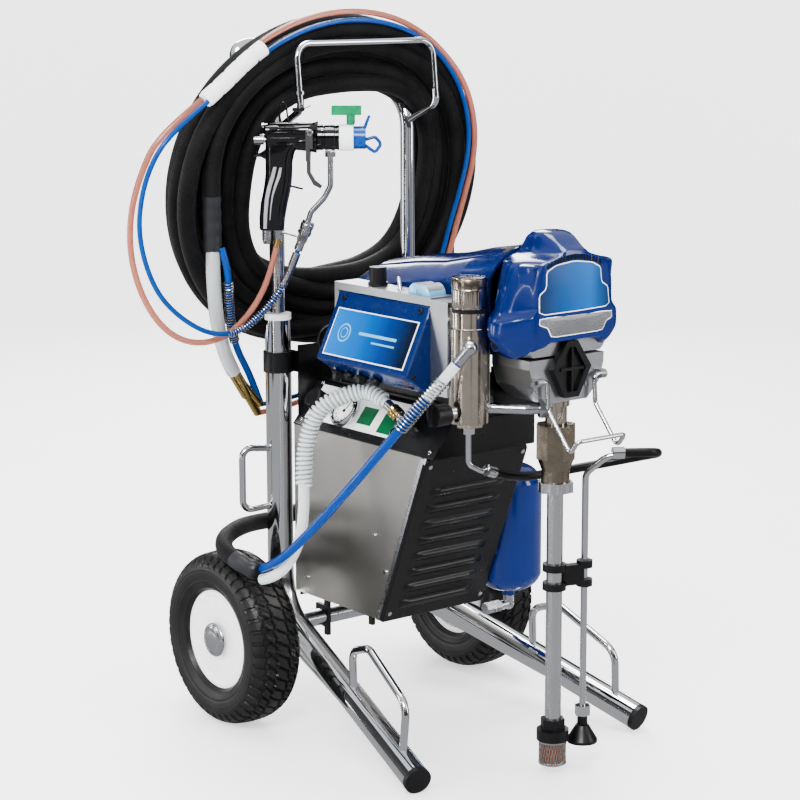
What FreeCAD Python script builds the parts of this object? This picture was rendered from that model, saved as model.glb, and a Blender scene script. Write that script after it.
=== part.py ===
import FreeCAD, Part
import os, math

# Air-assisted airless paint sprayer on a two-wheeled cart.
# Millimetres.  The model is laid out about the wheel axle (x = 0 midway between the
# wheels, y = 0 at the axle, z = 0 on the floor, -Y is the pump side) and every node is
# shifted by ORIGIN_SHIFT_Y so that the origin is the middle of the footprint.
V = FreeCAD.Vector
os.makedirs("parts", exist_ok=True)

# ---------------------------------------------------------------- driving dimensions
ORIGIN_SHIFT_Y = 196.65
WHEEL_R, TYRE_X0, TYRE_X1, RIM_R = 127.0, 180.0, 263.0, 72.0
AXLE_R, RUN = 7.94, 0.05
UP_X, UP_Y, UP_TOP, RAIL_R, RAIL_WALL = 121.0, 19.4, 582.0, 19.05, 2.1
LEG_X, LEG_Y, LEG_Z, LEG_KNEE_Z, LEG_BEND = 204.0, -403.0, 20.7, 150.0, 75.0
GRIP_R, GRIP_WALL, GRIP_BOT, GRIP_BEND_Z, GRIP_Y, GRIP_Z = 11.1, 1.8, 480.0, 874.0, 137.0, 971.0
HOOK_R = 5.0
HS_X0, HS_X1, HS_Z0, HS_Z1 = -115.0, 68.0, 180.0, 430.0      # stainless housing
SHEET = 1.5
MX = -4.0                                                     # centre plane of the machine
MOTOR_Z, CRANK_Z, PUMP_Y = 612.2, 570.0, -453.0
CRANK_THROW, STROKE_HALF = 10.0, 10.0
COIL_C, COIL_A, COIL_B, COIL_W, COIL_H, COIL_T, COIL_TILT = (-16.0, 40.0, 772.0), 274.0, 252.0, 150.0, 131.0, 60.0, 10.2
GUN_OUT = 8.0                                                 # gun plane in front of the hook corner
GUN_X, GUN_Y, GUN_TURN = -123.0 - 0.6216 * GUN_OUT, -46.0 - 0.7833 * GUN_OUT, -38.43
FILTER = (-105.0, -392.0)
FILTER_R = 26.5
TANK = (118.0, -221.0, 47.0, 188.0, 375.0)

SHIFT = V(0, ORIGIN_SHIFT_Y, 0)
nodes = {}


raw = {}


def put(name, shape):
    raw[name] = shape
    s = shape.copy()
    s.translate(SHIFT)
    s = s.removeSplitter() if s.ShapeType != "Compound" else s
    nodes[name] = s


def box(x0, x1, y0, y1, z0, z1):
    return Part.makeBox(x1 - x0, y1 - y0, z1 - z0, V(x0, y0, z0))


def cyl(a, b, r):
    a, b = V(*a), V(*b)
    d = b - a
    return Part.makeCylinder(r, d.Length, a, d)


def ring(a, b, ro, ri):
    a2, b2 = V(*a), V(*b)
    d = b2 - a2
    d.normalize()
    return cyl(a, b, ro).cut(Part.makeCylinder(ri, (b2 - a2).Length + 2, a2 - d, d))


def cone(a, b, r0, r1):
    a, b = V(*a), V(*b)
    d = b - a
    return Part.makeCone(r0, r1, d.Length, a, d)


def fuse(*s):
    r = s[0]
    if len(s) > 1:
        r = r.fuse(list(s[1:]))
    return r.removeSplitter()


def comp(*s):
    return Part.makeCompound(list(s))


def poly(pts, vec):
    """Closed polygon of 3-D points extruded by vec."""
    p = [V(*q) for q in pts]
    return Part.Face(Part.makePolygon(p + [p[0]])).extrude(V(*vec))


def yz(pts, x0, x1):
    return poly([(x0, y, z) for y, z in pts], (x1 - x0, 0, 0))


def xz(pts, y0, y1):
    return poly([(x, y0, z) for x, z in pts], (0, y1 - y0, 0))


def xy(pts, z0, z1):
    return poly([(x, y, z0) for x, y in pts], (0, 0, z1 - z0))


def hexa(a, b, af):
    """Hexagon bar from a to b, af across flats."""
    a, b = V(*a), V(*b)
    d = b - a
    u = d.cross(V(0, 0, 1))
    if u.Length < 1e-6:
        u = V(1, 0, 0)
    u.normalize()
    w = d.cross(u)
    w.normalize()
    r = af / math.sqrt(3)
    p = [a + u * (r * math.cos(k * math.pi / 3)) + w * (r * math.sin(k * math.pi / 3)) for k in range(6)]
    return Part.Face(Part.makePolygon(p + [p[0]])).extrude(d)


def path(pts, bend=None, say=None):
    """Straight runs joined by tangent arcs; bend None = as large as the two runs allow."""
    p = [V(*q) for q in pts]
    n = len(p)
    edges, cur, radii = [], p[0], []
    for i in range(1, n - 1):
        a, b = p[i - 1] - p[i], p[i + 1] - p[i]
        la, lb = a.Length, b.Length
        a.normalize()
        b.normalize()
        turn = math.pi - a.getAngle(b)
        if bend is None:
            r = 0.45 * min(la, lb) / math.tan(turn / 2)
        else:
            r = bend[i - 1] if isinstance(bend, (list, tuple)) else bend
        radii.append(r)
        t = r * math.tan(turn / 2)
        s, e = p[i] + a * t, p[i] + b * t
        bis = a + b
        bis.normalize()
        m = p[i] + bis * (r / math.cos(turn / 2) - r)
        if (s - cur).Length > 1e-4:
            edges.append(Part.LineSegment(cur, s).toShape())
        edges.append(Part.Arc(s, m, e).toShape())
        cur = e
    edges.append(Part.LineSegment(cur, p[-1]).toShape())
    w = Part.Wire(edges)
    if say:
        print(say, "length", round(w.Length, 1), "radii", [round(r) for r in radii])
    return w, p


def rod(pts, r, bend=None, say=None):
    w, p = path(pts, bend, say)
    d = p[1] - p[0]
    prof = Part.Wire([Part.makeCircle(r, p[0], d)])
    s = w.makePipeShell([prof], True, False)
    if say:
        print("   volume/section*length", round(s.Volume / (math.pi * r * r * w.Length), 4))
    return s


def pipe(pts, ro, ri, bend=None):
    return rod(pts, ro, bend).cut(rod(pts, ri, bend))


def loft(wires):
    s = Part.makeLoft(wires, True, True)
    s = Part.makeSolid(Part.Shell(s.Faces))
    if s.Volume < 0:
        s.reverse()
    return s


def mirror(s):
    return s.mirror(V(0, 0, 0), V(1, 0, 0))


def revolve_x(pts, x_sign=1):
    """(x, radius) polygon turned about the axle line."""
    w = Part.makePolygon([V(x_sign * x, 0, 127 + r) for x, r in pts + [pts[0]]])
    return Part.Face(w).revolve(V(0, 0, 127), V(1, 0, 0), 360)


# ---------------------------------------------------------------- cart: bent rails
RAIL = [(-UP_X, UP_Y, UP_TOP), (-UP_X, UP_Y, LEG_KNEE_Z), (-LEG_X, LEG_Y, LEG_Z)]
leg_dir = V(LEG_X - UP_X, UP_Y - LEG_Y, -(LEG_KNEE_Z - LEG_Z))       # (dx, -dy, dz) magnitudes
leg_dir = V(-(LEG_X - UP_X), LEG_Y - UP_Y, LEG_Z - LEG_KNEE_Z)
leg_dir.normalize()
rail = rod(RAIL, RAIL_R, LEG_BEND)
brace = cyl((-128, 8, 124), (-172, -246, 61.5), 13)
axle_hole = cyl((-300, 0, 127), (300, 0, 127), AXLE_R)
rail = fuse(rail, brace).cut(rod(RAIL, RAIL_R - RAIL_WALL, LEG_BEND))
cross_hole = cyl((-118, 0, 127), (118, 0, 127), 12.7)
rail = rail.cut(axle_hole).cut(cross_hole)


def on_leg(t, up=0.0):
    """Point on the left leg centre line, t from 0 at the knee to 1 at the toe."""
    a, b = V(-UP_X, UP_Y, LEG_KNEE_Z), V(-LEG_X, LEG_Y, LEG_Z)
    q = a + (b - a) * t
    return (q.x, q.y, q.z + up)


p1, p2 = on_leg(0.565, 17.5), on_leg(0.915, 17.5)
loop = rod([p1, (p1[0], p1[1] + 2, p1[2] + 52), (p1[0] - 8, p1[1] - 46, p1[2] + 68), (p2[0] + 4, p2[1] - 2, p2[2] + 62), p2],
           5.5, [20, 22, 30])
leg_cut = rod(RAIL, RAIL_R, LEG_BEND)
loop = loop.cut(leg_cut)
WRAP = 10.0
wd = (-math.cos(math.radians(WRAP)), math.sin(math.radians(WRAP)))
w0 = (-UP_X + wd[0] * 15, UP_Y + wd[1] * 15)
w1 = (-UP_X + wd[0] * 60, UP_Y + wd[1] * 60)
wrap = rod([(w0[0], w0[1], 392), (w1[0], w1[1], 396), (w1[0], w1[1], 302), (w0[0], w0[1], 306)], 5.0, 14).cut(leg_cut)

put("side_rails", comp(rail, mirror(rail)))
put("rod_loops", comp(loop, mirror(loop), wrap, mirror(wrap)))
toe = V(-LEG_X, LEG_Y, LEG_Z)
c0 = toe - leg_dir * 18
cap = fuse(Part.makeCylinder(RAIL_R - RAIL_WALL, 18, c0, leg_dir), Part.makeCylinder(19.4, 7, toe, leg_dir))
put("leg_caps", comp(cap, mirror(cap)))
collar = fuse(ring((-UP_X, UP_Y, UP_TOP - 40), (-UP_X, UP_Y, UP_TOP), RAIL_R - RAIL_WALL, GRIP_R + RUN),
              ring((-UP_X, UP_Y, UP_TOP), (-UP_X, UP_Y, UP_TOP + 9), RAIL_R + 0.6, GRIP_R + RUN))
put("collars", comp(collar, mirror(collar)))

# axle with its cross tube, stop collars and push-on end caps
ax = fuse(cyl((-254, 0, 127), (254, 0, 127), AXLE_R), cyl((-118, 0, 127), (118, 0, 127), 12.7))
for s in (-1, 1):
    ax = fuse(ax, cyl((s * 160, 0, 127), (s * 193.6, 0, 127), 13), cyl((s * 251.2, 0, 127), (s * 256, 0, 127), 24),
              cone((s * 256, 0, 127), (s * 259, 0, 127), 24, 18))
put("axle", ax)

# wheels: pneumatic-look tyre on a moulded hub
for side, s in (("left", -1), ("right", 1)):
    prof = [(TYRE_X0 + 14, RIM_R), (TYRE_X0 + 4, 84), (TYRE_X0, 100), (TYRE_X0 + 3, 112), (TYRE_X0 + 10, 121), (TYRE_X0 + 20, 125.5),
            (TYRE_X0 + 41.5, 127), (TYRE_X1 - 20, 125.5), (TYRE_X1 - 10, 121), (TYRE_X1 - 3, 112), (TYRE_X1, 100),
            (TYRE_X1 - 4, 84), (TYRE_X1 - 14, RIM_R)]
    put("tyre_" + side, revolve_x(prof, s))
    hub = [(194, AXLE_R + RUN), (250.8, AXLE_R + RUN), (250.8, 19), (247, 26), (239, 30), (235, 40), (238, 56), (246, 60),
           (249, 66), (249, RIM_R), (194, RIM_R), (194, 64), (228, 58), (226, 40), (224, 24), (194, 20)]
    put("hub_" + side, revolve_x(hub, s))

# ---------------------------------------------------------------- handle and hose rack
GRIP = [(-UP_X, UP_Y, GRIP_BOT), (-UP_X, UP_Y, GRIP_BEND_Z), (-UP_X, GRIP_Y, GRIP_Z), (UP_X, GRIP_Y, GRIP_Z),
        (UP_X, UP_Y, GRIP_BEND_Z), (UP_X, UP_Y, GRIP_BOT)]
GB = [55, 40, 40, 55]
put("handle_tube", pipe(GRIP, GRIP_R, GRIP_R - GRIP_WALL, GB))
HOOK = [(-118, 9, 861), (-123, -46, 887), (-123, -36, 979), (123, -36, 979), (123, -46, 887), (118, 9, 861)]
grip_solid = rod(GRIP, GRIP_R, GB)
hook = rod(HOOK, HOOK_R, [14, 22, 22, 14])
tie = ring((-123, -43.8, 899), (-123, -43.2, 904), HOOK_R + 2.2, HOOK_R + 0.2)
tie = ring((-122.6, -43.6, 908), (-122.6, -43.1, 913), HOOK_R + 2.4, HOOK_R)
put("hook_rod", fuse(hook, tie).cut(grip_solid))

# coiled hose: one ring, its inside rounded-square, leaning back at the bottom
cx, cy, cz = COIL_C
sup = []
for k in range(40):
    a = 2 * math.pi * k / 40
    c, s = math.cos(a), math.sin(a)
    n = 2.0 / 3.2
    sup.append(V(12 + COIL_W * math.copysign(abs(c) ** n, c), 0, COIL_H * math.copysign(abs(s) ** n, s) + 4))
secs = []
for ly, g in ((-COIL_T / 2, 27), (-COIL_T / 2 + 4, 13), (-COIL_T / 2 + 13, 4), (-COIL_T / 2 + 27, 0), (COIL_T / 2 - 20, 0), (COIL_T / 2 - 6, 6), (COIL_T / 2, 18)):
    q = [V((COIL_A - g) * math.cos(2 * math.pi * k / 48), ly, (COIL_B - g) * math.sin(2 * math.pi * k / 48)) for k in range(48)]
    secs.append(Part.makePolygon(q + [q[0]]))
ol = Part.makeLoft(secs, True, True)
outer = Part.makeSolid(Part.Shell(ol.Faces))
if outer.Volume < 0:
    outer.reverse()
inner = Part.Face(Part.makePolygon(sup + [sup[0]])).extrude(V(0, COIL_T + 20, 0))
inner.translate(V(0, -COIL_T / 2 - 10, 0))
coil = outer.cut(inner)
coil.rotate(V(0, 0, 0), V(1, 0, 0), COIL_TILT)
coil.translate(V(cx, cy, cz))
coil = coil.cut(rod(GRIP, GRIP_R + 1.5, GB)).cut(rod(HOOK, HOOK_R + 1.5, [14, 22, 22, 14]))
for s in (-1, 1):
    coil = coil.cut(cyl((s * UP_X, UP_Y, 480), (s * UP_X, UP_Y, 730), RAIL_R + 5))
put("hose_coil", coil)

# ---------------------------------------------------------------- stainless compressor housing
side = [(-10, HS_Z0), (-212, HS_Z0), (-312, HS_Z1), (-10, HS_Z1)]
shell = yz(side, HS_X0, HS_X1).cut(yz([(-10 - SHEET, HS_Z0 + SHEET), (-500, HS_Z0 + SHEET), (-500, 600), (-10 - SHEET, 600)],
                                      HS_X0 + SHEET, HS_X1 - SHEET))
put("housing_shell", shell)
fx0, fx1 = HS_X0 - 2, HS_X1 + 2
front = yz([(-212.6, 178), (-313.4, 430), (-318.4, 430), (-217.6, 178)], fx0, fx1)
ribs = []
for k in range(8):
    t = 0.10 + k * 0.098
    y, z = -217.6 + (-318.4 + 217.6) * t, 178 + 252 * t
    ribs.append(cyl((fx0 + 26, y, z), (fx1 - 34, y, z), 5.0))
front = fuse(front, *ribs)
put("housing_front", front)
slope = [(HS_X0, 430.3), (HS_X0, 432), (-66, 492), (HS_X1, 492), (HS_X1, 430.3)]
inn = [(HS_X0 + 3, 429), (HS_X0 + 3, 431.4), (-65.3, 490.2), (HS_X1 - SHEET, 490.2), (HS_X1 - SHEET, 429)]
panel = xz(slope, -330, -8).cut(xz(inn, -328.5, -9.5))
# ports of the sloped panel: regulator stem, gauge, outlet
nx, nz = -60.0 / math.hypot(60, 49), 49.0 / math.hypot(60, 49)


def on_slope(y, t, h):
    """Point on the sloped panel: t 0 at its low edge to 1 at its high edge, h above the sheet."""
    x, z = HS_X0 + 49 * t, 432 + 60 * t
    return (x + nx * h, y, z + nz * h)


stem = cyl(on_slope(-58, 0.45, -6), on_slope(-58, 0.45, 9), 5.0)
port = cyl(on_slope(-262, 0.45, -6), on_slope(-262, 0.45, 8), 7.0)
gauge_hole = cyl(on_slope(-108, 0.45, -10), on_slope(-108, 0.45, 10), 19.0)
put("control_panel", panel.cut(stem).cut(port).cut(gauge_hole))
gauge = fuse(cyl(on_slope(-108, 0.45, -18), on_slope(-108, 0.45, 5), 19.0),
             ring(on_slope(-108, 0.45, 0.5), on_slope(-108, 0.45, 8), 23.0, 18.0))
put("pressure_gauge", gauge.cut(panel.cut(gauge_hole)))
kn = cyl(on_slope(-58, 0.45, 4), on_slope(-58, 0.45, 30), 15.5)
kn = fuse(kn, cyl(on_slope(-58, 0.45, 2), on_slope(-58, 0.45, 8), 18.5)).cut(cyl(on_slope(-58, 0.45, 0), on_slope(-58, 0.45, 16), 5.0 + RUN))
put("regulator_knob", kn)

# compressor inside the housing: motor, cylinder and head on a foot
comp_s = fuse(cyl((-85, -95, 262), (35, -95, 262), 52), cyl((-30, -95, 300), (-30, -95, 385), 33), box(-62, 2, -130, -60, 385, 405),
              box(-70, 20, -140, -50, 181.6, 216))
put("compressor", comp_s)

# air receiver beside the housing
tx, ty, tr, tz0, tz1 = TANK
def vessel(r, z0, z1, h):
    """Closed drum about the tank axis with dished ends."""
    f = r * 0.2
    e = [Part.LineSegment(V(0, 0, z0), V(0, 0, z1)).toShape(), Part.LineSegment(V(0, 0, z1), V(f, 0, z1)).toShape(),
         Part.Arc(V(f, 0, z1), V(r * 0.78, 0, z1 - h * 0.34), V(r, 0, z1 - h)).toShape(),
         Part.LineSegment(V(r, 0, z1 - h), V(r, 0, z0 + h)).toShape(),
         Part.Arc(V(r, 0, z0 + h), V(r * 0.78, 0, z0 + h * 0.34), V(f, 0, z0)).toShape(), Part.LineSegment(V(f, 0, z0), V(0, 0, z0)).toShape()]
    q = Part.Face(Part.Wire(e)).revolve(V(0, 0, 0), V(0, 0, 1), 360)
    if q.Volume < 0:
        q.reverse()
    q.translate(V(tx, ty, 0))
    return q


tank = vessel(tr, tz0, tz1, 24)
tank = fuse(tank, box(HS_X1 + 0.1, tx - 30, ty - 22, ty + 22, 250, 320), cyl((tx, ty, tz0 - 10), (tx, ty, tz0 + 10), 9))
tank = tank.cut(yz([(-212.6, 178), (-313.4, 430), (-318.4, 430), (-217.6, 178)], fx0, fx1))
put("air_tank", tank.cut(vessel(tr - 2.5, tz0 + 2.5, tz1 - 2.5, 24)))

# ---------------------------------------------------------------- bracket between rails and drive
br = box(-70, 62, -392, -4, 493, 496)
br = fuse(br, box(-62, -58, -392, -4, 496, 522), box(50, 54, -392, -4, 496, 522),
          box(-58, 50, -386, -382, 496, 560), box(-58, 50, -250, -246, 496, 560))
br = fuse(br, box(-104, 104, -8, -5, 496, 545), box(-104, 104, -8, -5, 170, 496).cut(box(HS_X0 - 1, HS_X1 + 1, -200, -9.9, 100, 600)))
for s in (-1, 1):
    br = fuse(br, ring((s * UP_X, UP_Y, 505), (s * UP_X, UP_Y, 535), RAIL_R + 3.0, RAIL_R),
              box(min(s * 98, s * 104), max(s * 98, s * 104), -8, 15, 505, 535).cut(cyl((s * UP_X, UP_Y, 500), (s * UP_X, UP_Y, 540), RAIL_R)))
br = fuse(br, box(-60, 30, -60, -5, 174, 179.8), box(-60, -54, -14, -5, 100, 174), box(24, 30, -14, -5, 100, 174),
          box(-60, -54, -14, 16, 112, 145), box(24, 30, -14, 16, 112, 145))
br = br.cut(cyl((-118, 0, 127), (118, 0, 127), 12.7)).cut(shell).cut(panel)
put("machine_bracket", br)

# ---------------------------------------------------------------- electric drive
can = ring((MX, -396, MOTOR_Z), (MX, -236, MOTOR_Z), 49, 38.0)
bell0 = ring((MX, -396, MOTOR_Z), (MX, -390, MOTOR_Z), 49, 8.0 + RUN)
bell1 = ring((MX, -242, MOTOR_Z), (MX, -236, MOTOR_Z), 49, 8.0 + RUN)
can = fuse(can, bell0, bell1, box(MX - 30, MX + 30, -386, -382, 560, 572), box(MX - 30, MX + 30, -250, -246, 560, 572))
put("motor_can", can)
rotor = fuse(cyl((MX, -401, MOTOR_Z), (MX, -190, MOTOR_Z), 8.0), ring((MX, -375, MOTOR_Z), (MX, -258, MOTOR_Z), 36.5, 24), ring((MX, -320, MOTOR_Z), (MX, -312, MOTOR_Z), 26, 7),
             cyl((MX, -410, MOTOR_Z), (MX, -400, MOTOR_Z), 6.0))
fan = cyl((MX, -215, MOTOR_Z), (MX, -209, MOTOR_Z), 20)
for k in range(8):
    b = box(MX - 1.5, MX + 1.5, -218, -198, MOTOR_Z + 6, MOTOR_Z + 44)
    b.rotate(V(MX, 0, MOTOR_Z), V(0, 1, 0), 45 * k)
    fan = fan.fuse(b)
put("motor_rotor", fuse(rotor, fan))


def arch(y, hw, zt, zb, drop):
    e = [Part.LineSegment(V(MX + hw, y, zb), V(MX - hw, y, zb)).toShape(),
         Part.LineSegment(V(MX - hw, y, zb), V(MX - hw, y, zt - drop)).toShape(),
         Part.Arc(V(MX - hw, y, zt - drop), V(MX, y, zt), V(MX + hw, y, zt - drop)).toShape(),
         Part.LineSegment(V(MX + hw, y, zt - drop), V(MX + hw, y, zb)).toShape()]
    return Part.Wire(e)


ST = [(-398, 72, 722, 40), (-333, 72, 712, 38), (-274, 72, 699, 36), (-205, 72, 690, 34), (-119, 70, 676, 34), (-80, 66, 660, 34),
      (-58, 58, 644, 32), (-44, 46, 626, 26)]
shr = loft([arch(y, hw, zt, 561.5, dr) for y, hw, zt, dr in ST])
shr_in = loft([arch(y, hw - 3, zt - 3, 540, dr) for y, hw, zt, dr in [(-410, 72, 724, 40)] + ST[1:-1] + [(-48, 52, 634, 28)]])
shroud = shr.cut(shr_in)
vent = [box(MX - 80, MX + 80, -150 - k * 14, -145 - k * 14, 590, 622) for k in range(5)]
for v in vent:
    shroud = shroud.cut(v)
put("motor_shroud", shroud)

# front cover: narrow at the seam, widest at the wings, narrower at the face
FC = [(-28, 745), (-32, 716), (-72, 708), (-84, 676), (-92, 642), (-105, 632), (-107, 612), (-92, 594), (-76, 580), (76, 580), (92, 594),
      (107, 612), (105, 632), (92, 642), (84, 676), (72, 708), (32, 716), (28, 745)]


def cover_wire(y, kx, dz=0.0, g=0.0):
    pts = []
    for x, z in FC:
        xx = x * kx
        zz = z + dz
        xx = xx - math.copysign(min(g, abs(xx)), xx)
        zz = zz - g if z > 640 else zz + g
        pts.append(V(MX + xx, y, zz))
    return Part.makePolygon(pts + [pts[0]])


cov = loft([cover_wire(-399, 0.66), cover_wire(-444, 1.0), cover_wire(-474, 0.88), cover_wire(-486, 0.66, -2)])
cov_in = loft([cover_wire(-395, 0.62, 0, 3), cover_wire(-444, 1.0, 0, 4), cover_wire(-472, 0.86, 0, 4), cover_wire(-482, 0.66, -2, 4)])
cover = cov.cut(cov_in)
cover = cover.cut(box(MX - 47, MX + 47, -476, -390, 570, 600)).cut(box(MX - 40, MX + 40, -490, -470, 570, 603))
put("front_cover", cover)
cb = [(-80.5, 641), (-120, 641), (-126, 624), (-162, 549), (-124, 522), (-80.5, 522)]
# pierced guard over the piston rod opening
dia = [(MX - 34, 566), (MX - 9, 602.5), (MX + 9, 602.5), (MX + 34, 566), (MX + 12, 527), (MX - 12, 527)]
din = [(MX - 24, 565), (MX - 5, 594), (MX + 5, 594), (MX + 24, 565), (MX + 8, 534), (MX - 8, 534)]
sh = xz(dia, -484, -474).cut(xz(din, -486, -478.5))
sh = fuse(sh, box(MX - 20, MX + 20, -484, -478, 563, 567), box(MX - 1.5, MX + 1.5, -484, -478, 534, 594))
put("rod_guard", sh)

# cast drive housing with gear pocket, crank pocket and rod hole
dh = xz([(MX - 44, 655), (MX - 44, 603), (MX - 66, 603), (MX - 66, 568), (MX - 58, 542), (MX - 36, 520), (MX + 36, 520), (MX + 58, 542),
         (MX + 66, 568), (MX + 66, 603), (MX + 44, 603), (MX + 44, 655)], -473.5, -398)
dh = dh.cut(box(MX - 24, MX + 24, -461.5, -432, 526, 615))
dh = dh.cut(cyl((MX, -421, CRANK_Z), (MX, -390, CRANK_Z), 37.5)).cut(cyl((MX, -414, MOTOR_Z), (MX, -390, MOTOR_Z), 9))
dh = dh.cut(cyl((MX, -440, CRANK_Z), (MX, -415, CRANK_Z), 8 + RUN)).cut(cyl((MX, PUMP_Y, 500), (MX, PUMP_Y, 556), 9.25 + RUN))
for s in (-1, 1):
    x0 = MX + s * 56
    lug = fuse(box(x0 - 5, x0 + 5, -480, -470, 546, 558), cyl((x0 - 5, -481, 552), (x0 + 5, -481, 552), 6))
    dh = dh.fuse(lug)
dh = dh.cut(cyl((MX - 70, -481, 552), (MX + 70, -481, 552), 3 + RUN)).removeSplitter()
dh = dh.cut(cov.cut(cov_in)).cut(br)
dh_sol = sorted(dh.Solids, key=lambda q: -q.Volume)[0]
put("drive_housing", dh_sol)
cr = fuse(cyl((MX, -412, CRANK_Z), (MX, -404, CRANK_Z), 35.8), cyl((MX, -436, CRANK_Z), (MX, -404, CRANK_Z), 8),
          cyl((MX, -443, CRANK_Z), (MX, -434, CRANK_Z), 18), cyl((MX + CRANK_THROW, -460.5, CRANK_Z), (MX + CRANK_THROW, -442, CRANK_Z), 4))
put("crank", cr)
yoke = box(MX - 22, MX + 22, -458.5, -447.5, 539, 601).cut(box(MX - 15, MX + 15, -470, -440, 545, 595))
put("pump_rod", fuse(yoke, cyl((MX, PUMP_Y, 420), (MX, PUMP_Y, 541), 9.25)))

# pail hook: bent wire on the two lugs
PH = [(MX - 61, -481, 552), (MX - 42, -481, 552), (MX - 42, -484, 514), (MX - 42, -527, 463), (MX - 42, -541, 481), (MX + 42, -541, 481),
      (MX + 42, -527, 463), (MX + 42, -484, 514), (MX + 42, -481, 552), (MX + 61, -481, 552)]
put("pail_hook", rod(PH, 3.0, [6, 10, 6, 6, 6, 6, 10, 6]))

# ---------------------------------------------------------------- electronics and controls
eb = box(-120, -78.5, -366, -118, 522, 641).cut(xz(cb, -330, -128))
eb = fuse(box(-120, -78.5, -366, -330.2, 522, 650), box(-80.4, -78.5, -331, -118, 522, 650), box(-120, -78.5, -330.5, -118, 641.2, 652),
          box(-120, -78.5, -127.8, -118, 522, 650))
for y in (-304, -288):
    d = cyl((-112, y, 652), (-84, y, 652), 15)
    d = d.cut(box(-130, -70, y - 20, y + 20, 600, 652))
    eb = eb.fuse(d)
eb = eb.removeSplitter()
pk_stem = cyl((-99, -190, 645), (-99, -190, 660), 4.0)
sw_hole = box(-104, -94, -246, -234, 640, 653)
put("electronics_box", eb.fuse(pk_stem).cut(sw_hole).removeSplitter())
cbox = xz(cb, -330, -128)
cbox = cbox.cut(xz([(x + (3 if x < -100 else -3), z + (-3 if z > 600 else 3)) for x, z in cb], -327, -131).common(box(-200, -83.5, -327, -131, 520, 645)))
put("control_box", cbox.cut(eb))
put("pressure_knob", fuse(cyl((-99, -190, 654), (-99, -190, 678), 12), cyl((-99, -190, 653), (-99, -190, 657), 14)).cut(
    cyl((-99, -190, 650), (-99, -190, 668), 4.0 + RUN)))
tg = fuse(cyl((-99, -240, 650), (-97, -233, 668), 2.6), cyl((-103.5, -240, 648), (-94.5, -240, 648), 3.4))
put("toggle_switch", tg)

# ---------------------------------------------------------------- fluid section
fxx, fy = FILTER
fil = fuse(cyl((fxx, fy, 492), (fxx, fy, 618), FILTER_R), cyl((fxx, fy, 618), (fxx, fy, 640), FILTER_R - 2.2), cyl((fxx, fy, 640), (fxx, fy, 645), FILTER_R - 5),
           cyl((fxx, fy, 645), (fxx, fy, 672), FILTER_R - 4.5), cyl((fxx, fy, 672), (fxx, fy, 686), FILTER_R - 3.5), hexa((fxx, fy, 486), (fxx, fy, 492), 34))
fil = fil.cut(cyl((fxx, fy, 500), (fxx, fy, 600), 17))
fil = fuse(fil, box(fxx + 12, -79, fy - 13, fy + 16, 510, 590)).cut(eb).cut(cyl((fxx, fy, 500), (fxx, fy, 600), 17))
put("filter_manifold", fil)
ca, sa = -0.6216, -0.7833               # unit vector from the machine towards its front-left
ob = (fxx + ca * (FILTER_R - 0.5), fy + sa * (FILTER_R - 0.5))
OUT = (fxx + ca * 44, fy + sa * 44, 598)
HOSE_DIR = V(-0.50, 0.39, -0.77)
HOSE_DIR.normalize()
o1 = V(*OUT) + HOSE_DIR * 26
fit_out = fuse(hexa((ob[0], ob[1], 598), (fxx + ca * 36, fy + sa * 36, 598), 17), Part.makeSphere(10, V(fxx + ca * 42, fy + sa * 42, 598)),
               cyl(OUT, (o1.x, o1.y, o1.z), 7.5)).cut(cyl((fxx, fy, 492), (fxx, fy, 618), FILTER_R))
# prime valve body on the filter, transfer pipe to the pump, panel barb, tank elbow
pv = cyl((fxx - 24, fy, 507), (fxx - 36, fy, 507), 8.5).cut(cyl((fxx, fy, 492), (fxx, fy, 618), FILTER_R))
pv = fuse(pv, cyl((fxx - 34, fy, 507), (fxx - 46, fy, 507), 4.0))
tp = rod([(MX - 14, PUMP_Y + 2, 508), (MX - 40, PUMP_Y + 18, 508), (fxx + 32, fy - 8, 508), (fxx + 20, fy - 4, 508)], 7.0, 12)
tp = fuse(tp, hexa((MX - 13, PUMP_Y + 1.5, 508), (MX - 24, PUMP_Y + 8, 508), 22))
tp = tp.cut(cyl((fxx, fy, 492), (fxx, fy, 618), FILTER_R)).cut(box(fxx + 12, -79, fy - 13, fy + 16, 510, 590)).cut(cyl((MX, PUMP_Y, 480), (MX, PUMP_Y, 530), 14.6)).cut(cyl((MX, PUMP_Y, 512), (MX, PUMP_Y, 530), 18))
BARB = [on_slope(-262, 0.45, 8), on_slope(-262, 0.45, 22)]
b0, b1 = V(*BARB[0]), V(*BARB[1])
brass = fuse(cyl(on_slope(-262, 0.45, -5), BARB[0], 6.9), hexa(BARB[0], BARB[1], 18))
bx, by, bz = BARB[1]
BARB_END = (bx - 4, by + 34, bz + 20)
brass = fuse(brass, Part.makeSphere(9, b1), cyl((bx, by, bz), BARB_END, 7.5))
elbow = fuse(cyl((tx, ty, tz0 - 24), (tx, ty, tz0 - 10), 8), Part.makeSphere(8.5, V(tx, ty, tz0 - 24)), cyl((tx, ty, tz0 - 24), (tx - 20, ty, tz0 - 24), 7),
             hexa((tx - 18, ty, tz0 - 24), (tx - 46, ty, tz0 - 24), 15))
put("pipe_fittings", comp(fit_out, pv, tp, brass.cut(panel), elbow))
put("prime_knob", fuse(cyl((fxx - 38, fy, 507), (fxx - 60, fy, 507), 14.5), box(fxx - 66, fxx - 58, fy - 4, fy + 4, 494, 520)).cut(
    cyl((fxx - 30, fy, 507), (fxx - 48, fy, 507), 4.0 + RUN)))

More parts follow.
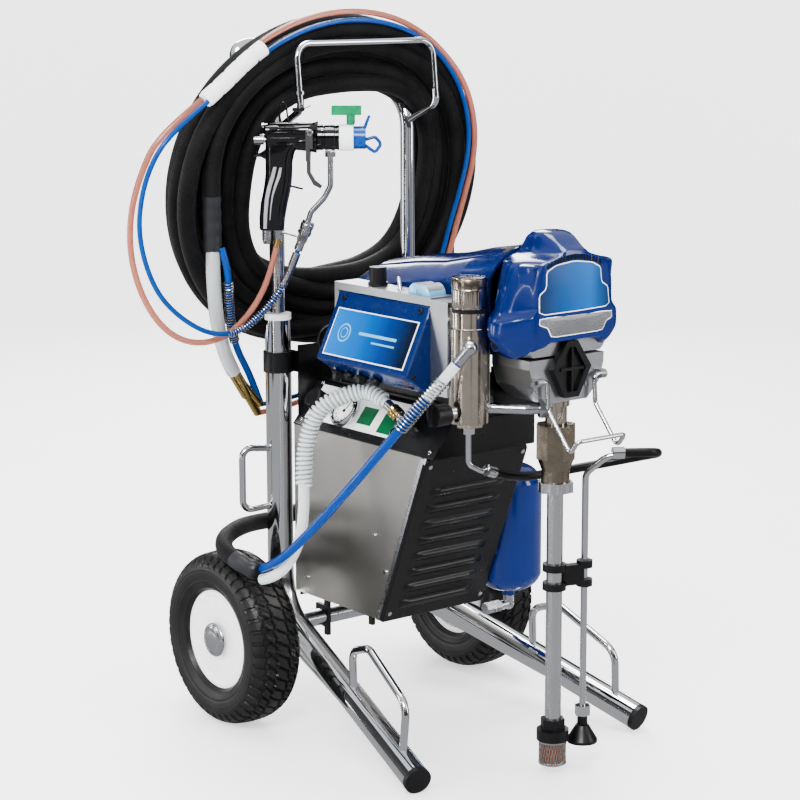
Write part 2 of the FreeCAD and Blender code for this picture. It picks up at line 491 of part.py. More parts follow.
# pump: barrel, intake block, suction tube, strainer
barrel = fuse(cyl((MX, PUMP_Y, 486), (MX, PUMP_Y, 519.9), 14.6), cyl((MX, PUMP_Y, 512), (MX, PUMP_Y, 519.9), 18)).cut(cyl((MX, PUMP_Y, 410), (MX, PUMP_Y, 530), 9.25 + RUN))
put("pump_barrel", barrel)
oc = [(MX + 27.5 * math.cos(math.radians(22.5 + 45 * k)), PUMP_Y + 27.5 * math.sin(math.radians(22.5 + 45 * k))) for k in range(8)]
intake = fuse(xy(oc, 440, 486), cone((MX, PUMP_Y, 440), (MX, PUMP_Y, 424), 25, 19), cyl((MX, PUMP_Y, 424), (MX, PUMP_Y, 408), 19))
intake = intake.cut(cyl((MX, PUMP_Y, 402), (MX, PUMP_Y, 500), 9.25 + RUN))
put("pump_intake", intake)
stube = fuse(ring((MX, PUMP_Y, 74), (MX, PUMP_Y, 408), 11, 9.4), ring((MX, PUMP_Y, 394), (MX, PUMP_Y, 408), 22.5, 9.4))
stube = fuse(stube, *[cyl((MX + 22 * math.cos(math.radians(60 * k)), PUMP_Y + 22 * math.sin(math.radians(60 * k)), 394),
                          (MX + 22 * math.cos(math.radians(60 * k)), PUMP_Y + 22 * math.sin(math.radians(60 * k)), 408), 3) for k in range(6)])
put("suction_tube", stube)
strn = fuse(hexa((MX, PUMP_Y, 60), (MX, PUMP_Y, 76), 30), cyl((MX, PUMP_Y, 46), (MX, PUMP_Y, 61), 22)).cut(cyl((MX, PUMP_Y, 74), (MX, PUMP_Y, 80), 11))
strn = strn.cut(cyl((MX, PUMP_Y, 40), (MX, PUMP_Y, 80), 9.4))
put("strainer_fitting", strn)
put("strainer_basket", fuse(ring((MX, PUMP_Y, 14), (MX, PUMP_Y, 46), 18.5, 17.0), cyl((MX, PUMP_Y, 12), (MX, PUMP_Y, 15), 18.5)))

# drain line
fr, fn = V(0.7833, -0.6216, 0), V(0.6216, 0.7833, 0)


def sd(s, d, z):
    p = fr * s + fn * d
    return (p.x, p.y, z)


DX, DY = 41.0, -464.0
TUP = [(fxx, fy, 486), (fxx, fy, 434), (fxx + 16, fy - 8, 424.5), (fxx + 34, fy - 13, 421)]
TLO = [(DX, DY, 74), (DX, DY, 414), (DX + 20, DY - 18, 437), (DX + 38, DY - 34, 443)]
DH = [TUP[-1], (-46, -402, 412), (-10, -394, 404), (32, -394, 402), (72, -410, 407), (108, -434, 414), (136, -466, 424), (142, -500, 434), (118, -520, 442), TLO[-1]]


def ferr(p, q, l):
    p, q = V(*p), V(*q)
    d = q - p
    d.normalize()
    a, b = p - d * l, p
    return cyl((a.x, a.y, a.z), (b.x, b.y, b.z), 8)


up = fuse(rod(TUP, 3.8, [10, 18]), hexa((fxx, fy, 476), (fxx, fy, 486), 15), ferr(TUP[-1], DH[1], 16))
lo = fuse(rod(TLO, 4.6, [16, 30]), hexa((DX, DY, 74), (DX, DY, 88), 19), ferr(TLO[-1], DH[-2], 16))
put("drain_tubes", comp(up, lo))
put("drain_hose", rod(DH, 6.2, None, "drain_hose").cut(raw["drain_tubes"]))
diffuser = (fuse(cyl((DX, DY, 60), (DX, DY, 73.9), 7), cone((DX, DY, 40), (DX, DY, 60), 21, 9), cyl((DX, DY, 36), (DX, DY, 40), 21)))
clip = fuse(ring((MX, PUMP_Y, 258), (MX, PUMP_Y, 268), 16, 11), ring((MX, PUMP_Y, 284), (MX, PUMP_Y, 294), 16, 11),
            ring((DX, DY, 258), (DX, DY, 268), 11, 4.6), ring((DX, DY, 284), (DX, DY, 294), 11, 4.6))
link = poly([(MX + 9, PUMP_Y - 8, 262), (MX + 9, PUMP_Y + 6, 262), (DX - 6, DY + 7, 262), (DX - 6, DY - 6, 262)], (0, 0, 28))
clip = fuse(clip, link).cut(cyl((MX, PUMP_Y, 250), (MX, PUMP_Y, 300), 11)).cut(cyl((DX, DY, 250), (DX, DY, 300), 4.6))
put("drain_plastics", comp(diffuser, clip))

# screws: housing side, front panel, cover
scr = [cyl((HS_X0 - 2.2, y, z), (HS_X0 - 0.05, y, z), 3.4) for y, z in ((-40, 205), (-40, 405), (-200, 300), (-225, 252))]
fnrm = V(0, -252, -100.8)
fnrm.normalize()
for x in (HS_X0 + 8, HS_X1 - 8):
    for t in (0.05, 0.95):
        y, z = -217.6 - 100.8 * t, 178 + 252 * t
        a = V(x, y, z) + V(0, -0.9285, 0.3714) * 0
        scr.append(Part.makeCylinder(3.4, 2.2, V(x, y, z), V(0, -252, -100.8)))
for s in (-1, 1):
    scr.append(cyl((MX + s * 34, -475.6, 540), (MX + s * 34, -473.55, 540), 3.5))
put("screws", comp(*scr))

# ---------------------------------------------------------------- spray gun, laid out in its own plane


graw = {}


def gput(name, shape):
    s = shape.copy()
    s.rotate(V(0, 0, 0), V(0, 0, 1), GUN_TURN)
    s.translate(V(GUN_X, GUN_Y, 0))
    graw[name] = s
    put(name, s)


gb = fuse(box(-52, 22, -14, 14, 829, 862), cyl((-50, 0, 856), (24, 0, 858), 10.5), cyl((21, 0, 849), (54, 0, 849), 17.5))
hd = xz([(-52, 832), (-8, 832), (-12, 800), (-15, 781), (-22, 722), (-57, 724), (-56, 774), (-50, 806)], -12, 12)
gb = fuse(gb, hd, box(-34, -10, -2, 2, 778, 782), box(-20, -3, -1.5, 1.5, 776, 779))
gb = fuse(gb, rod([(-15, 8, 860), (-15, 8, 888), (-15, 32, 888)], 2.8, 6))
gb = gb.cut(cyl((13, -30, 857), (13, 30, 857), 3.0 + RUN)).cut(cyl((-70, 0, 846), (-40, 0, 846), 4.0 + RUN)).cut(cyl((-50, 0, 700), (-50, 0, 740), 3.0 + RUN))
gb = gb.cut(cyl((54.2, 0, 849), (46, 0, 849), 9))
gput("gun_body", gb)
tip_bore = cyl((70, 0, 835), (70, 0, 900), 4.5 + RUN)
gput("air_cap_ring", fuse(ring((54.1, 0, 849), (73.8, 0, 849), 18.5, 12), ring((47, 0, 849), (60, 0, 849), 8.9, 4), ring((54.1, 0, 849), (57, 0, 849), 17, 4)).cut(tip_bore))
tgd = fuse(ring((74, 0, 849), (91, 0, 849), 16, 5), ring((66, 0, 849), (74, 0, 849), 11.9, 5))
tgd = fuse(tgd, xz([(86, 860), (91, 860), (98, 879), (94, 879.5)], -9, 9), rod([(90, 0, 838), (104, 0, 828), (113, 0, 840), (104, 0, 850), (90, 0, 846)], 2.4, [4, 6, 4]))
tgd = tgd.cut(tip_bore)
gput("tip_guard", tgd)
th = fuse(cyl((70, 0, 840), (70, 0, 880), 4.5), box(43, 85, -4, 4, 880.5, 893.5), cyl((70, 0, 868), (70, 0, 881), 6))
gput("tip_handle", th)
trg = fuse(box(8, 13, -10, 10, 800, 822), xz([(8, 800), (13, 800), (20, 788), (29, 781), (27, 778), (17, 783)], -8, 8),
           box(7, 17, -17.4, -14.3, 834, 861), box(7, 17, 14.3, 17.4, 834, 861), box(7, 13, -17.4, 17.4, 817, 824),
           box(7, 13, -17.4, -14.3, 818, 838), box(7, 13, 14.3, 17.4, 818, 838), cyl((13, -18.5, 857), (13, 18.5, 857), 3.0))
trg_main = fuse(trg, cyl((13, -17, 857), (13, 17, 857), 3.0))
gput("gun_trigger", sorted(trg_main.Solids, key=lambda q: -q.Volume)[0])
gput("fan_knob", fuse(cyl((-66, 0, 846), (-52.4, 0, 846), 6.8), cyl((-54, 0, 846), (-42, 0, 846), 4.0)))
gput("air_knob", fuse(cyl((-50, 0, 704), (-50, 0, 719), 6.5), cyl((-50, 0, 716), (-50, 0, 738), 3.0)))
ft = fuse(rod([(41, 0, 832), (41, 0, 781), (32, 0, 764), (13, 0, 744), (8, 0, 728)], 4.0, [14, 30, 12]), hexa((41, 0, 822), (41, 0, 830), 13),
          cyl((10, 0, 731), (2.5, 0, 712), 9), hexa((2.5, 0, 712), (-1, 0, 703), 15), cyl((-1, 0, 703), (-6, 0, 690), 6.2))
ft = fuse(ft, poly([(-46, -6, 720), (2, -5, 706), (2, 5, 706), (-46, 6, 720)], (0, 0, 1.8)), hexa((-34, 0, 706), (-34, 0, 722), 11))
ft = ft.cut(cyl((-50, 0, 700), (-50, 0, 740), 7.2)).cut(gb)
gput("gun_fluid_tube", sorted(ft.Solids, key=lambda q: -q.Volume)[0])


def gw(s, z, d=0.0):
    p = V(GUN_X, GUN_Y, z) + V(0.7833, -0.6216, 0) * s + V(0.6216, 0.7833, 0) * d
    return (p.x, p.y, p.z)


# ---------------------------------------------------------------- free hoses: straight runs and tangent arcs
def rim(deg, grow, ly):
    """Point beside the coil's rim: angle round the coil, growth of its outline, place across its width."""
    c, q = math.cos(math.radians(deg)), math.sin(math.radians(deg))
    t = math.radians(COIL_TILT)
    x, y, z = (COIL_A + grow) * c, ly, (COIL_B + grow) * q
    return (COIL_C[0] + x, COIL_C[1] + y * math.cos(t) - z * math.sin(t), COIL_C[2] + y * math.sin(t) + z * math.cos(t))


WHIP_F = [gw(-6, 690), gw(-20, 652), gw(-46, 611)] + [(-197, 4, 571), (-243, 8, 572), (-287, 12, 596), (-325, 14, 632), (-349, 12, 679), (-363, 6, 732), (-360, -2, 784), (-347, -12, 828), (-322, -20, 863)] + [rim(136, -2, -31), rim(122, -3, -30), rim(108, -3, -29.5),
          rim(94, -3, -29.5), rim(80, -3, -29.5), rim(66, -3, -29.5), rim(52, -6, -31), rim(38, -12, -34), rim(24, -22, -37), rim(10, -34, -38), rim(-5, -46, -38),
          (196, 10, 700), (184, 14, 652), (173, 28, 606), (160, 48, 562), (140, 68, 526), (108, 82, 497), (66, 92, 474), (20, 95, 458), (-26, 92, 449), (-70, 86, 445), (-110, 80, 445)]
WHIP_A = [gw(-34, 706), gw(-42, 668), gw(-62, 618)] + [(-197, 20, 571), (-242, 24, 557), (-288, 26, 567), (-325, 28, 599), (-347, 36, 647), (-358, 38, 700), (-358, 32, 756), (-347, 20, 808), (-328, 8, 854)] + [rim(143, 8, -24), rim(131, 7.5, -19), rim(118, 7, -17), rim(105, 7, -16.5),
          rim(91, 7, -16.5), rim(77, 7, -16.5), rim(63, 6, -17), rim(50, 2, -24), rim(37, -3, -34), rim(23, -12, -37.5), rim(9, -22, -38), rim(-6, -34, -38),
          (208, 10, 694), (196, 15, 644), (185, 32, 598), (170, 56, 554), (146, 78, 516), (110, 94, 484), (66, 104, 460), (18, 107, 443), (-28, 104, 434), (-70, 98, 430), (-108, 92, 430)]
put("whip_fluid", rod(WHIP_F, 3.6, None, "whip_fluid"))
put("whip_air", rod(WHIP_A, 4.4, None, "whip_air").cut(graw["gun_fluid_tube"]))
# end of the coil: clear air tube and its fittings, joined to the whips
CE = [(-232, 24, 812), (-244, 7, 768), (-248, 0, 722), (-243, 7, 674), (-230, 24, 628), (-212, 42, 584), (-190, 56, 542), (-166, 70, 502)]
put("coil_end_tube", rod(CE, 10.5, None, "coil_end_tube").cut(coil))
ce = V(*CE[-1])
we = V(*WHIP_A[-1])
wf = V(*WHIP_F[-1])
fa_ = fuse(cyl(tuple(ce), tuple(ce + (we - ce) * 0.55), 9), cyl(tuple(ce + (we - ce) * 0.5), tuple(we), 6.5))
fb_ = cyl(tuple(ce + (wf - ce) * 0.3), tuple(wf), 5.2)
put("coil_end_fittings", fuse(fa_, fb_).cut(raw["coil_end_tube"]).cut(raw["whip_air"]).cut(raw["whip_fluid"]))

# supply side: sleeve from the coil over the left tyre, then fluid and air hose to the machine
SL = [(-240, -92, 246), (-262, -50, 262), (-244, -8, 276), (-196, 24, 280), (-140, 62, 272), (-80, 92, 262), (-14, 112, 262), (54, 122, 280), (116, 122, 314),
      (168, 116, 362), (207, 108, 420), (232, 98, 482), (244, 86, 546), (242, 72, 606), (230, 60, 664)]
put("main_sleeve", rod(SL, 12.5, None, "main_sleeve").cut(coil))
s0 = V(*SL[0])
sdv = s0 - V(*SL[1])
sdv.normalize()
e1 = s0 + sdv * 7.5
HB = [(o1.x, o1.y, o1.z), tuple(V(*OUT) + HOSE_DIR * 62), (-196, -364, 492), (-214, -314, 432), (-226, -262, 376), (-235, -210, 325), (-240, -160, 283),
      (-240, -122, 261), (e1.x, e1.y, e1.z + 7.8)]
bd = V(*BARB_END) - b1
bd.normalize()
h2 = V(*BARB_END) + bd * 22
HC = [BARB_END, (h2.x, h2.y, h2.z), (h2.x - 6, h2.y + 22, h2.z + 4), (-164, -152, 490), (-176, -138, 462), (-184, -132, 424), (-190, -136, 384), (-197, -146, 342), (-208, -152, 300),
      (-224, -144, 264), (-235, -122, 243), (e1.x, e1.y, e1.z - 7.8)]
put("supply_hose_fluid", rod(HB, 6.3, None, "supply_hose_fluid"))
put("supply_hose_air", rod(HC, 8.0, None, "supply_hose_air"))

bb = None
for name, s in sorted(nodes.items()):
    if not s.isValid():
        print("INVALID", name)
    s.exportStep("parts/%s.step" % name)
    print("%-20s solids %d vol %9.0f  x %7.1f %7.1f  y %7.1f %7.1f  z %7.1f %7.1f" % (name, len(s.Solids), s.Volume, s.BoundBox.XMin, s.BoundBox.XMax,
          s.BoundBox.YMin, s.BoundBox.YMax, s.BoundBox.ZMin, s.BoundBox.ZMax))
print("nodes", len(nodes))
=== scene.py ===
import bpy, bmesh, math, json, random
import numpy as np
from mathutils import Vector, Matrix


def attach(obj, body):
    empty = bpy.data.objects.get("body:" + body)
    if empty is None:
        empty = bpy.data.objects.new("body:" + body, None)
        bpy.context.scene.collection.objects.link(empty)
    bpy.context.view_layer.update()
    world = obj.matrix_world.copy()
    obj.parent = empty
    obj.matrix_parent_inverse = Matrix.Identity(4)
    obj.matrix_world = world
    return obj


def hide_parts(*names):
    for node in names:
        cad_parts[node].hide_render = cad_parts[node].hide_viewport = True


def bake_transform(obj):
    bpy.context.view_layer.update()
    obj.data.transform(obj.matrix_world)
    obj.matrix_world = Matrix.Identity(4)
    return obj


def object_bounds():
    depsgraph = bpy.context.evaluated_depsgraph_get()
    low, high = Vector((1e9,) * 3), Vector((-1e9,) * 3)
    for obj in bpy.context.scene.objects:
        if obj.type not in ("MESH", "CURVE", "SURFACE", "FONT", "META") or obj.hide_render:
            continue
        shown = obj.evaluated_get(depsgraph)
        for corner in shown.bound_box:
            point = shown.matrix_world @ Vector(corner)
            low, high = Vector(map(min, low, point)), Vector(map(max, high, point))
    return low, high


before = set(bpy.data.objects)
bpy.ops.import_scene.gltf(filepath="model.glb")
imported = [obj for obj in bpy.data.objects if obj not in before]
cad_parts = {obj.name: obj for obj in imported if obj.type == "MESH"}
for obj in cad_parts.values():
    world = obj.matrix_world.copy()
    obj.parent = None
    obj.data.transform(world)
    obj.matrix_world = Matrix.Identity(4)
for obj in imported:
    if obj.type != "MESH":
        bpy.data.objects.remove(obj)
BOX0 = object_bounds()
SY = 0.19665


def A(x, y, z):
    """Axle-centred millimetres to row-frame metres."""
    return Vector((x / 1000.0, y / 1000.0 + SY, z / 1000.0))


# ------------------------------------------------------------------ camera, floor, light
AZ, EL = math.radians(-38.46), math.radians(10.92)
cam_data = bpy.data.cameras.new("camera")
cam = bpy.data.objects.new("camera", cam_data)
bpy.context.scene.collection.objects.link(cam)
cam.location = A(-1999.4, -2632.8, 1087.6)
cam.rotation_euler = (math.pi / 2 - EL, 0.002, AZ)
cam_data.lens, cam_data.sensor_width, cam_data.sensor_height, cam_data.sensor_fit = 101.58, 36.0, 36.0, "HORIZONTAL"
cam_data.clip_start, cam_data.clip_end = 0.05, 60.0
bpy.context.scene.camera = cam


def link(name, data):
    o = bpy.data.objects.new(name, data)
    bpy.context.scene.collection.objects.link(o)
    return o


def area(name, loc, look, size, power, size_y=None, col=(1, 1, 1)):
    l = bpy.data.lights.new(name, "AREA")
    l.energy, l.size, l.color = power, size, col
    if size_y:
        l.shape, l.size_y = "RECTANGLE", size_y
    o = link(name, l)
    o.location = loc
    o.visible_camera = False
    o.rotation_euler = (Vector(look) - Vector(loc)).to_track_quat("-Z", "Y").to_euler()
    return o


area("key", (-2.5, -2.2, 3.0), (0, 0, 0.5), 1.2, 105)
area("fill", (2.2, -3.2, 1.5), (0, 0, 0.5), 0.9, 30, 2.2)
area("top", (0.2, 0.3, 3.4), (0, 0, 0.4), 1.8, 80)
area("strip", (-2.9, -0.3, 1.1), (0, 0, 0.6), 0.45, 26, 2.2)
area("rim", (1.7, 2.6, 2.2), (0, 0, 0.6), 1.6, 60)
area("side", (-2.1, 2.1, 0.55), (-0.1, 0, 0.35), 1.5, 30, 0.9)
world = bpy.data.worlds.new("world")
bpy.context.scene.world = world
bpy.context.scene.view_settings.look = "AgX - Medium High Contrast"
world.use_nodes = True
wn = world.node_tree
bg = wn.nodes["Background"]
tc = wn.nodes.new("ShaderNodeTexCoord")
sx = wn.nodes.new("ShaderNodeSeparateXYZ")
cr = wn.nodes.new("ShaderNodeValToRGB")
wn.links.new(tc.outputs["Generated"], sx.inputs[0])
wn.links.new(sx.outputs["Z"], cr.inputs[0])
els = cr.color_ramp.elements
els[0].position, els[0].color = 0.0, (0.46, 0.46, 0.47, 1)
els[1].position, els[1].color = 1.0, (1.0, 1.0, 1.0, 1)
for p_, c_ in ((0.02, 0.10), (0.24, 0.085), (0.36, 0.28), (0.50, 0.80)):
    e_ = els.new(p_)
    e_.color = (c_, c_, c_ * 1.02, 1)
wn.links.new(cr.outputs[0], bg.inputs[0])
bg.inputs[1].default_value = 0.85


def stage_quad(name, pts, mat):
    me = bpy.data.meshes.new(name)
    me.from_pydata([tuple(p) for p in pts], [], [tuple(range(len(pts)))])
    o = link(name, me)
    me.materials.append(mat)
    return o


# ------------------------------------------------------------------ materials
def nodes_of(m):
    m.use_nodes = True
    nt = m.node_tree
    return nt, nt.nodes, nt.links, nt.nodes["Principled BSDF"]


def setv(b, **kw):
    for k, v in kw.items():
        key = {"rough": "Roughness", "metal": "Metallic", "ior": "IOR", "coat": "Coat Weight", "coat_rough": "Coat Roughness", "trans": "Transmission Weight",
               "sheen": "Sheen Weight", "sheen_rough": "Sheen Roughness", "aniso": "Anisotropic", "sss": "Subsurface Weight", "spec": "Specular IOR Level"}[k]
        b.inputs[key].default_value = v


def noise(nt, vec, scale, detail=4.0, rough=0.55):
    n = nt.nodes.new("ShaderNodeTexNoise")
    n.inputs["Scale"].default_value, n.inputs["Detail"].default_value, n.inputs["Roughness"].default_value = scale, detail, rough
    nt.links.new(vec, n.inputs["Vector"])
    return n


def maprange(nt, src, a, b, lo=0.3, hi=0.7):
    m = nt.nodes.new("ShaderNodeMapRange")
    m.inputs["From Min"].default_value, m.inputs["From Max"].default_value = lo, hi
    m.inputs["To Min"].default_value, m.inputs["To Max"].default_value = a, b
    nt.links.new(src, m.inputs["Value"])
    return m


def ramp(nt, src, stops):
    r = nt.nodes.new("ShaderNodeValToRGB")
    el = r.color_ramp.elements
    while len(el) < len(stops):
        el.new(0.5)
    for e, (p, c) in zip(el, stops):
        e.position, e.color = p, (c[0], c[1], c[2], 1)
    nt.links.new(src, r.inputs[0])
    return r


def bump(nt, height, b, strength, dist=0.001, prev=None):
    bp = nt.nodes.new("ShaderNodeBump")
    bp.inputs["Strength"].default_value, bp.inputs["Distance"].default_value = strength, dist
    nt.links.new(height, bp.inputs["Height"])
    if prev is not None:
        nt.links.new(prev, bp.inputs["Normal"])
    nt.links.new(bp.outputs[0], b.inputs["Normal"])
    return bp.outputs[0]


MATS = {}


def surf(name, col, rough, metal=0.0, var=0.10, vs=9.0, rv=0.25, rs=35.0, bs=0.0, bscale=900.0, bdist=0.0004, stretch=None, **kw):
    """Object-space finish: colour mottling, roughness patches and a fine bump."""
    m = bpy.data.materials.new(name)
    nt, N, L, b = nodes_of(m)
    tcn = N.new("ShaderNodeTexCoord")
    vec = tcn.outputs["Object"]
    if stretch:
        mp = N.new("ShaderNodeMapping")
        mp.inputs["Scale"].default_value = stretch
        L.new(vec, mp.inputs[0])
        svec = mp.outputs[0]
    else:
        svec = vec
    n1 = noise(nt, vec, vs)
    c0 = tuple(max(0.0, c * (1 - var)) for c in col)
    c1 = tuple(min(1.0, c * (1 + var)) for c in col)
    r = ramp(nt, n1.outputs["Fac"], [(0.32, c0), (0.68, c1)])
    L.new(r.outputs[0], b.inputs["Base Color"])
    n2 = noise(nt, svec, rs)
    mr = maprange(nt, n2.outputs["Fac"], rough * (1 - rv), min(1.0, rough * (1 + rv)))
    L.new(mr.outputs[0], b.inputs["Roughness"])
    if bs:
        n3 = noise(nt, svec, bscale, 3.0)
        bump(nt, n3.outputs["Fac"], b, bs, bdist)
    setv(b, metal=metal, **kw)
    MATS[name] = m
    return m


surf("chrome", (0.80, 0.81, 0.83), 0.045, 1.0, var=0.02, rv=0.35, rs=60)
surf("zinc_plate", (0.66, 0.67, 0.70), 0.23, 1.0, var=0.07, vs=40, rv=0.3, rs=90, bs=0.05, bscale=1400)
surf("steel_machined", (0.60, 0.60, 0.62), 0.22, 1.0, var=0.05, vs=60, rs=120, bs=0.06, bscale=2200)
# stainless grey with a slight warm tint; the warm tint is a painted reflection of a gold-tinted surround
surf("stainless_side", (0.62, 0.60, 0.57), 0.30, 1.0, var=0.03, vs=3.0, rv=0.07, rs=160, bs=0.010, bscale=420, bdist=0.0001, stretch=(1, 10, 0.25), aniso=0.5)
surf("cast_silver", (0.52, 0.53, 0.55), 0.38, 1.0, var=0.08, vs=14, rv=0.2, rs=300, bs=0.30, bscale=1100, bdist=0.0005)
surf("alu_satin", (0.76, 0.77, 0.79), 0.25, 1.0, var=0.03, vs=12, rv=0.2, rs=50, bs=0.04, bscale=300, stretch=(6, 6, 0.5))
surf("nickel_warm", (0.62, 0.56, 0.48), 0.16, 1.0, var=0.10, vs=26, rv=0.35, rs=60, bs=0.03, bscale=800)
surf("bronze_dark", (0.36, 0.31, 0.25), 0.26, 1.0, var=0.14, vs=34, rv=0.3, rs=70, bs=0.06, bscale=900)
surf("brass_fit", (0.78, 0.58, 0.24), 0.20, 1.0, var=0.10, vs=50, rv=0.3, rs=90, bs=0.03, bscale=900)
surf("blue_gloss", (0.0010, 0.0125, 0.092), 0.20, 0.0, var=0.08, vs=6, rv=0.25, rs=40, bs=0.05, bscale=700, coat=0.6, coat_rough=0.06)
surf("blue_paint", (0.0014, 0.0145, 0.082), 0.24, 0.0, var=0.08, vs=7, rv=0.25, rs=60, bs=0.05, bscale=900, bdist=0.0002, coat=0.25, coat_rough=0.10)
surf("blue_tank", (0.0011, 0.0145, 0.108), 0.18, 0.0, var=0.08, vs=7, rv=0.25, rs=40, bs=0.04, bscale=300, coat=0.8, coat_rough=0.04)
surf("black_powder", (0.0030, 0.0030, 0.0034), 0.30, 0.0, var=0.12, vs=7, rv=0.12, rs=60, bs=0.10, bscale=1500, bdist=0.0003, spec=0.70)
surf("black_plastic", (0.005, 0.005, 0.006), 0.38, 0.0, var=0.18, vs=20, rv=0.2, rs=80, bs=0.12, bscale=1600)
surf("black_gloss", (0.003, 0.003, 0.004), 0.13, 0.0, var=0.20, vs=20, rv=0.3, rs=60, bs=0.03, bscale=500, coat=0.8, coat_rough=0.05)
surf("white_plastic", (0.80, 0.80, 0.79), 0.34, 0.0, var=0.03, vs=10, rv=0.2, rs=60, bs=0.06, bscale=900, sss=0.05)
surf("hub_white", (0.72, 0.72, 0.71), 0.30, 0.0, var=0.03, vs=10, rv=0.25, rs=60, bs=0.10, bscale=500, coat=0.3, coat_rough=0.1)
surf("tyre_rubber", (0.0085, 0.0080, 0.0082), 0.40, 0.0, var=0.25, vs=25, rv=0.15, rs=90, bs=0.20, bscale=1100, bdist=0.0005, spec=0.55)
surf("rubber_black", (0.004, 0.004, 0.0045), 0.33, 0.0, var=0.2, vs=40, rv=0.2, rs=120, bs=0.08, bscale=1500)
surf("guard_blue", (0.001, 0.052, 0.24), 0.28, 0.0, var=0.06, vs=30, rv=0.2, rs=90, bs=0.04, bscale=900, coat=0.3, coat_rough=0.1)
surf("tip_green", (0.001, 0.19, 0.075), 0.30, 0.0, var=0.08, vs=40, rv=0.2, rs=90, bs=0.04, bscale=900, coat=0.3, coat_rough=0.1)
surf("shrink_grey", (0.020, 0.021, 0.024), 0.38, 0.0, var=0.16, vs=50, rv=0.2, rs=60, bs=0.20, bscale=160, bdist=0.0008)
surf("tape_white", (0.80, 0.79, 0.80), 0.40, 0.0, var=0.04, vs=50, rv=0.2, rs=90, bs=0.1, bscale=300)
surf("plate_silver", (0.50, 0.50, 0.52), 0.28, 1.0, var=0.05, vs=30, rv=0.08, rs=80, bs=0.01, bscale=600, bdist=0.0001, stretch=(1, 1, 10))
surf("lens_blue", (0.16, 0.42, 0.60), 0.14, 0.0, var=0.05, vs=20, rv=0.2, rs=60, coat=0.7, coat_rough=0.05, sss=0.1)
surf("label_white", (0.78, 0.79, 0.79), 0.45, 0.0, var=0.03, vs=30, rv=0.2, rs=60)
surf("label_green", (0.003, 0.105, 0.035), 0.42, 0.0, var=0.05, vs=30, rv=0.2, rs=60)
surf("label_blue", (0.01, 0.16, 0.55), 0.35, 0.0, var=0.10, vs=14, rv=0.2, rs=60, coat=0.4)
surf("label_cyan", (0.02, 0.36, 0.72), 0.30, 0.0, var=0.22, vs=7, rv=0.2, rs=60, coat=0.5)
# near-black stand-in for painted shade: laid over slots, recesses, seams and gaps that are dark only because they are
# in shade
surf("painted_shade", (0.004, 0.004, 0.004), 0.8, 0.0, var=0.2, vs=10)
surf("copper", (0.72, 0.36, 0.20), 0.30, 1.0, var=0.12, vs=40, rv=0.2, rs=60, bs=0.05, bscale=400)
surf("grip_grey", (0.23, 0.23, 0.24), 0.55, 0.0, var=0.08, vs=60, rv=0.2, rs=90, bs=0.15, bscale=1200)
surf("trigger_dark", (0.30, 0.30, 0.32), 0.10, 1.0, var=0.08, vs=60, rv=0.3, rs=90)


def hose_mat(name, col, rough=0.22, trans=0.0, coat=0.5, alpha=None, stripe=None, ior=1.42, sss=0.0):
    """Extruded hose: faint lengthwise drawing lines and colour drift, on the tube's own UV."""
    m = bpy.data.materials.new(name)
    nt, N, L, b = nodes_of(m)
    uv = N.new("ShaderNodeUVMap")
    uv.uv_map = "UVMap"
    mp = N.new("ShaderNodeMapping")
    mp.inputs["Scale"].default_value = (22, 1.2, 1)
    L.new(uv.outputs[0], mp.inputs[0])
    n1 = noise(nt, mp.outputs[0], 4.0)
    c0, c1 = tuple(c * 0.88 for c in col), tuple(min(1, c * 1.12) for c in col)
    r = ramp(nt, n1.outputs["Fac"], [(0.35, c0), (0.65, c1)])
    L.new(r.outputs[0], b.inputs["Base Color"])
    mr = maprange(nt, n1.outputs["Fac"], rough * 0.8, rough * 1.3)
    L.new(mr.outputs[0], b.inputs["Roughness"])
    bump(nt, n1.outputs["Fac"], b, 0.06, 0.0005)
    setv(b, trans=trans, coat=coat, coat_rough=0.08, ior=ior, sss=sss)
    MATS[name] = m
    return m


hose_mat("hose_blue", (0.0012, 0.034, 0.180), coat=0.35)
hose_mat("hose_blue_thin", (0.0022, 0.047, 0.215), coat=0.35)
hose_mat("hose_pink", (0.40, 0.165, 0.120), rough=0.16, trans=0.35, sss=0.1)
hose_mat("hose_clear", (0.60, 0.63, 0.64), rough=0.16, trans=0.55, coat=0.6, ior=1.35)
hose_mat("hose_milky", (0.62, 0.65, 0.66), rough=0.26, trans=0.25, coat=0.5, sss=0.1)


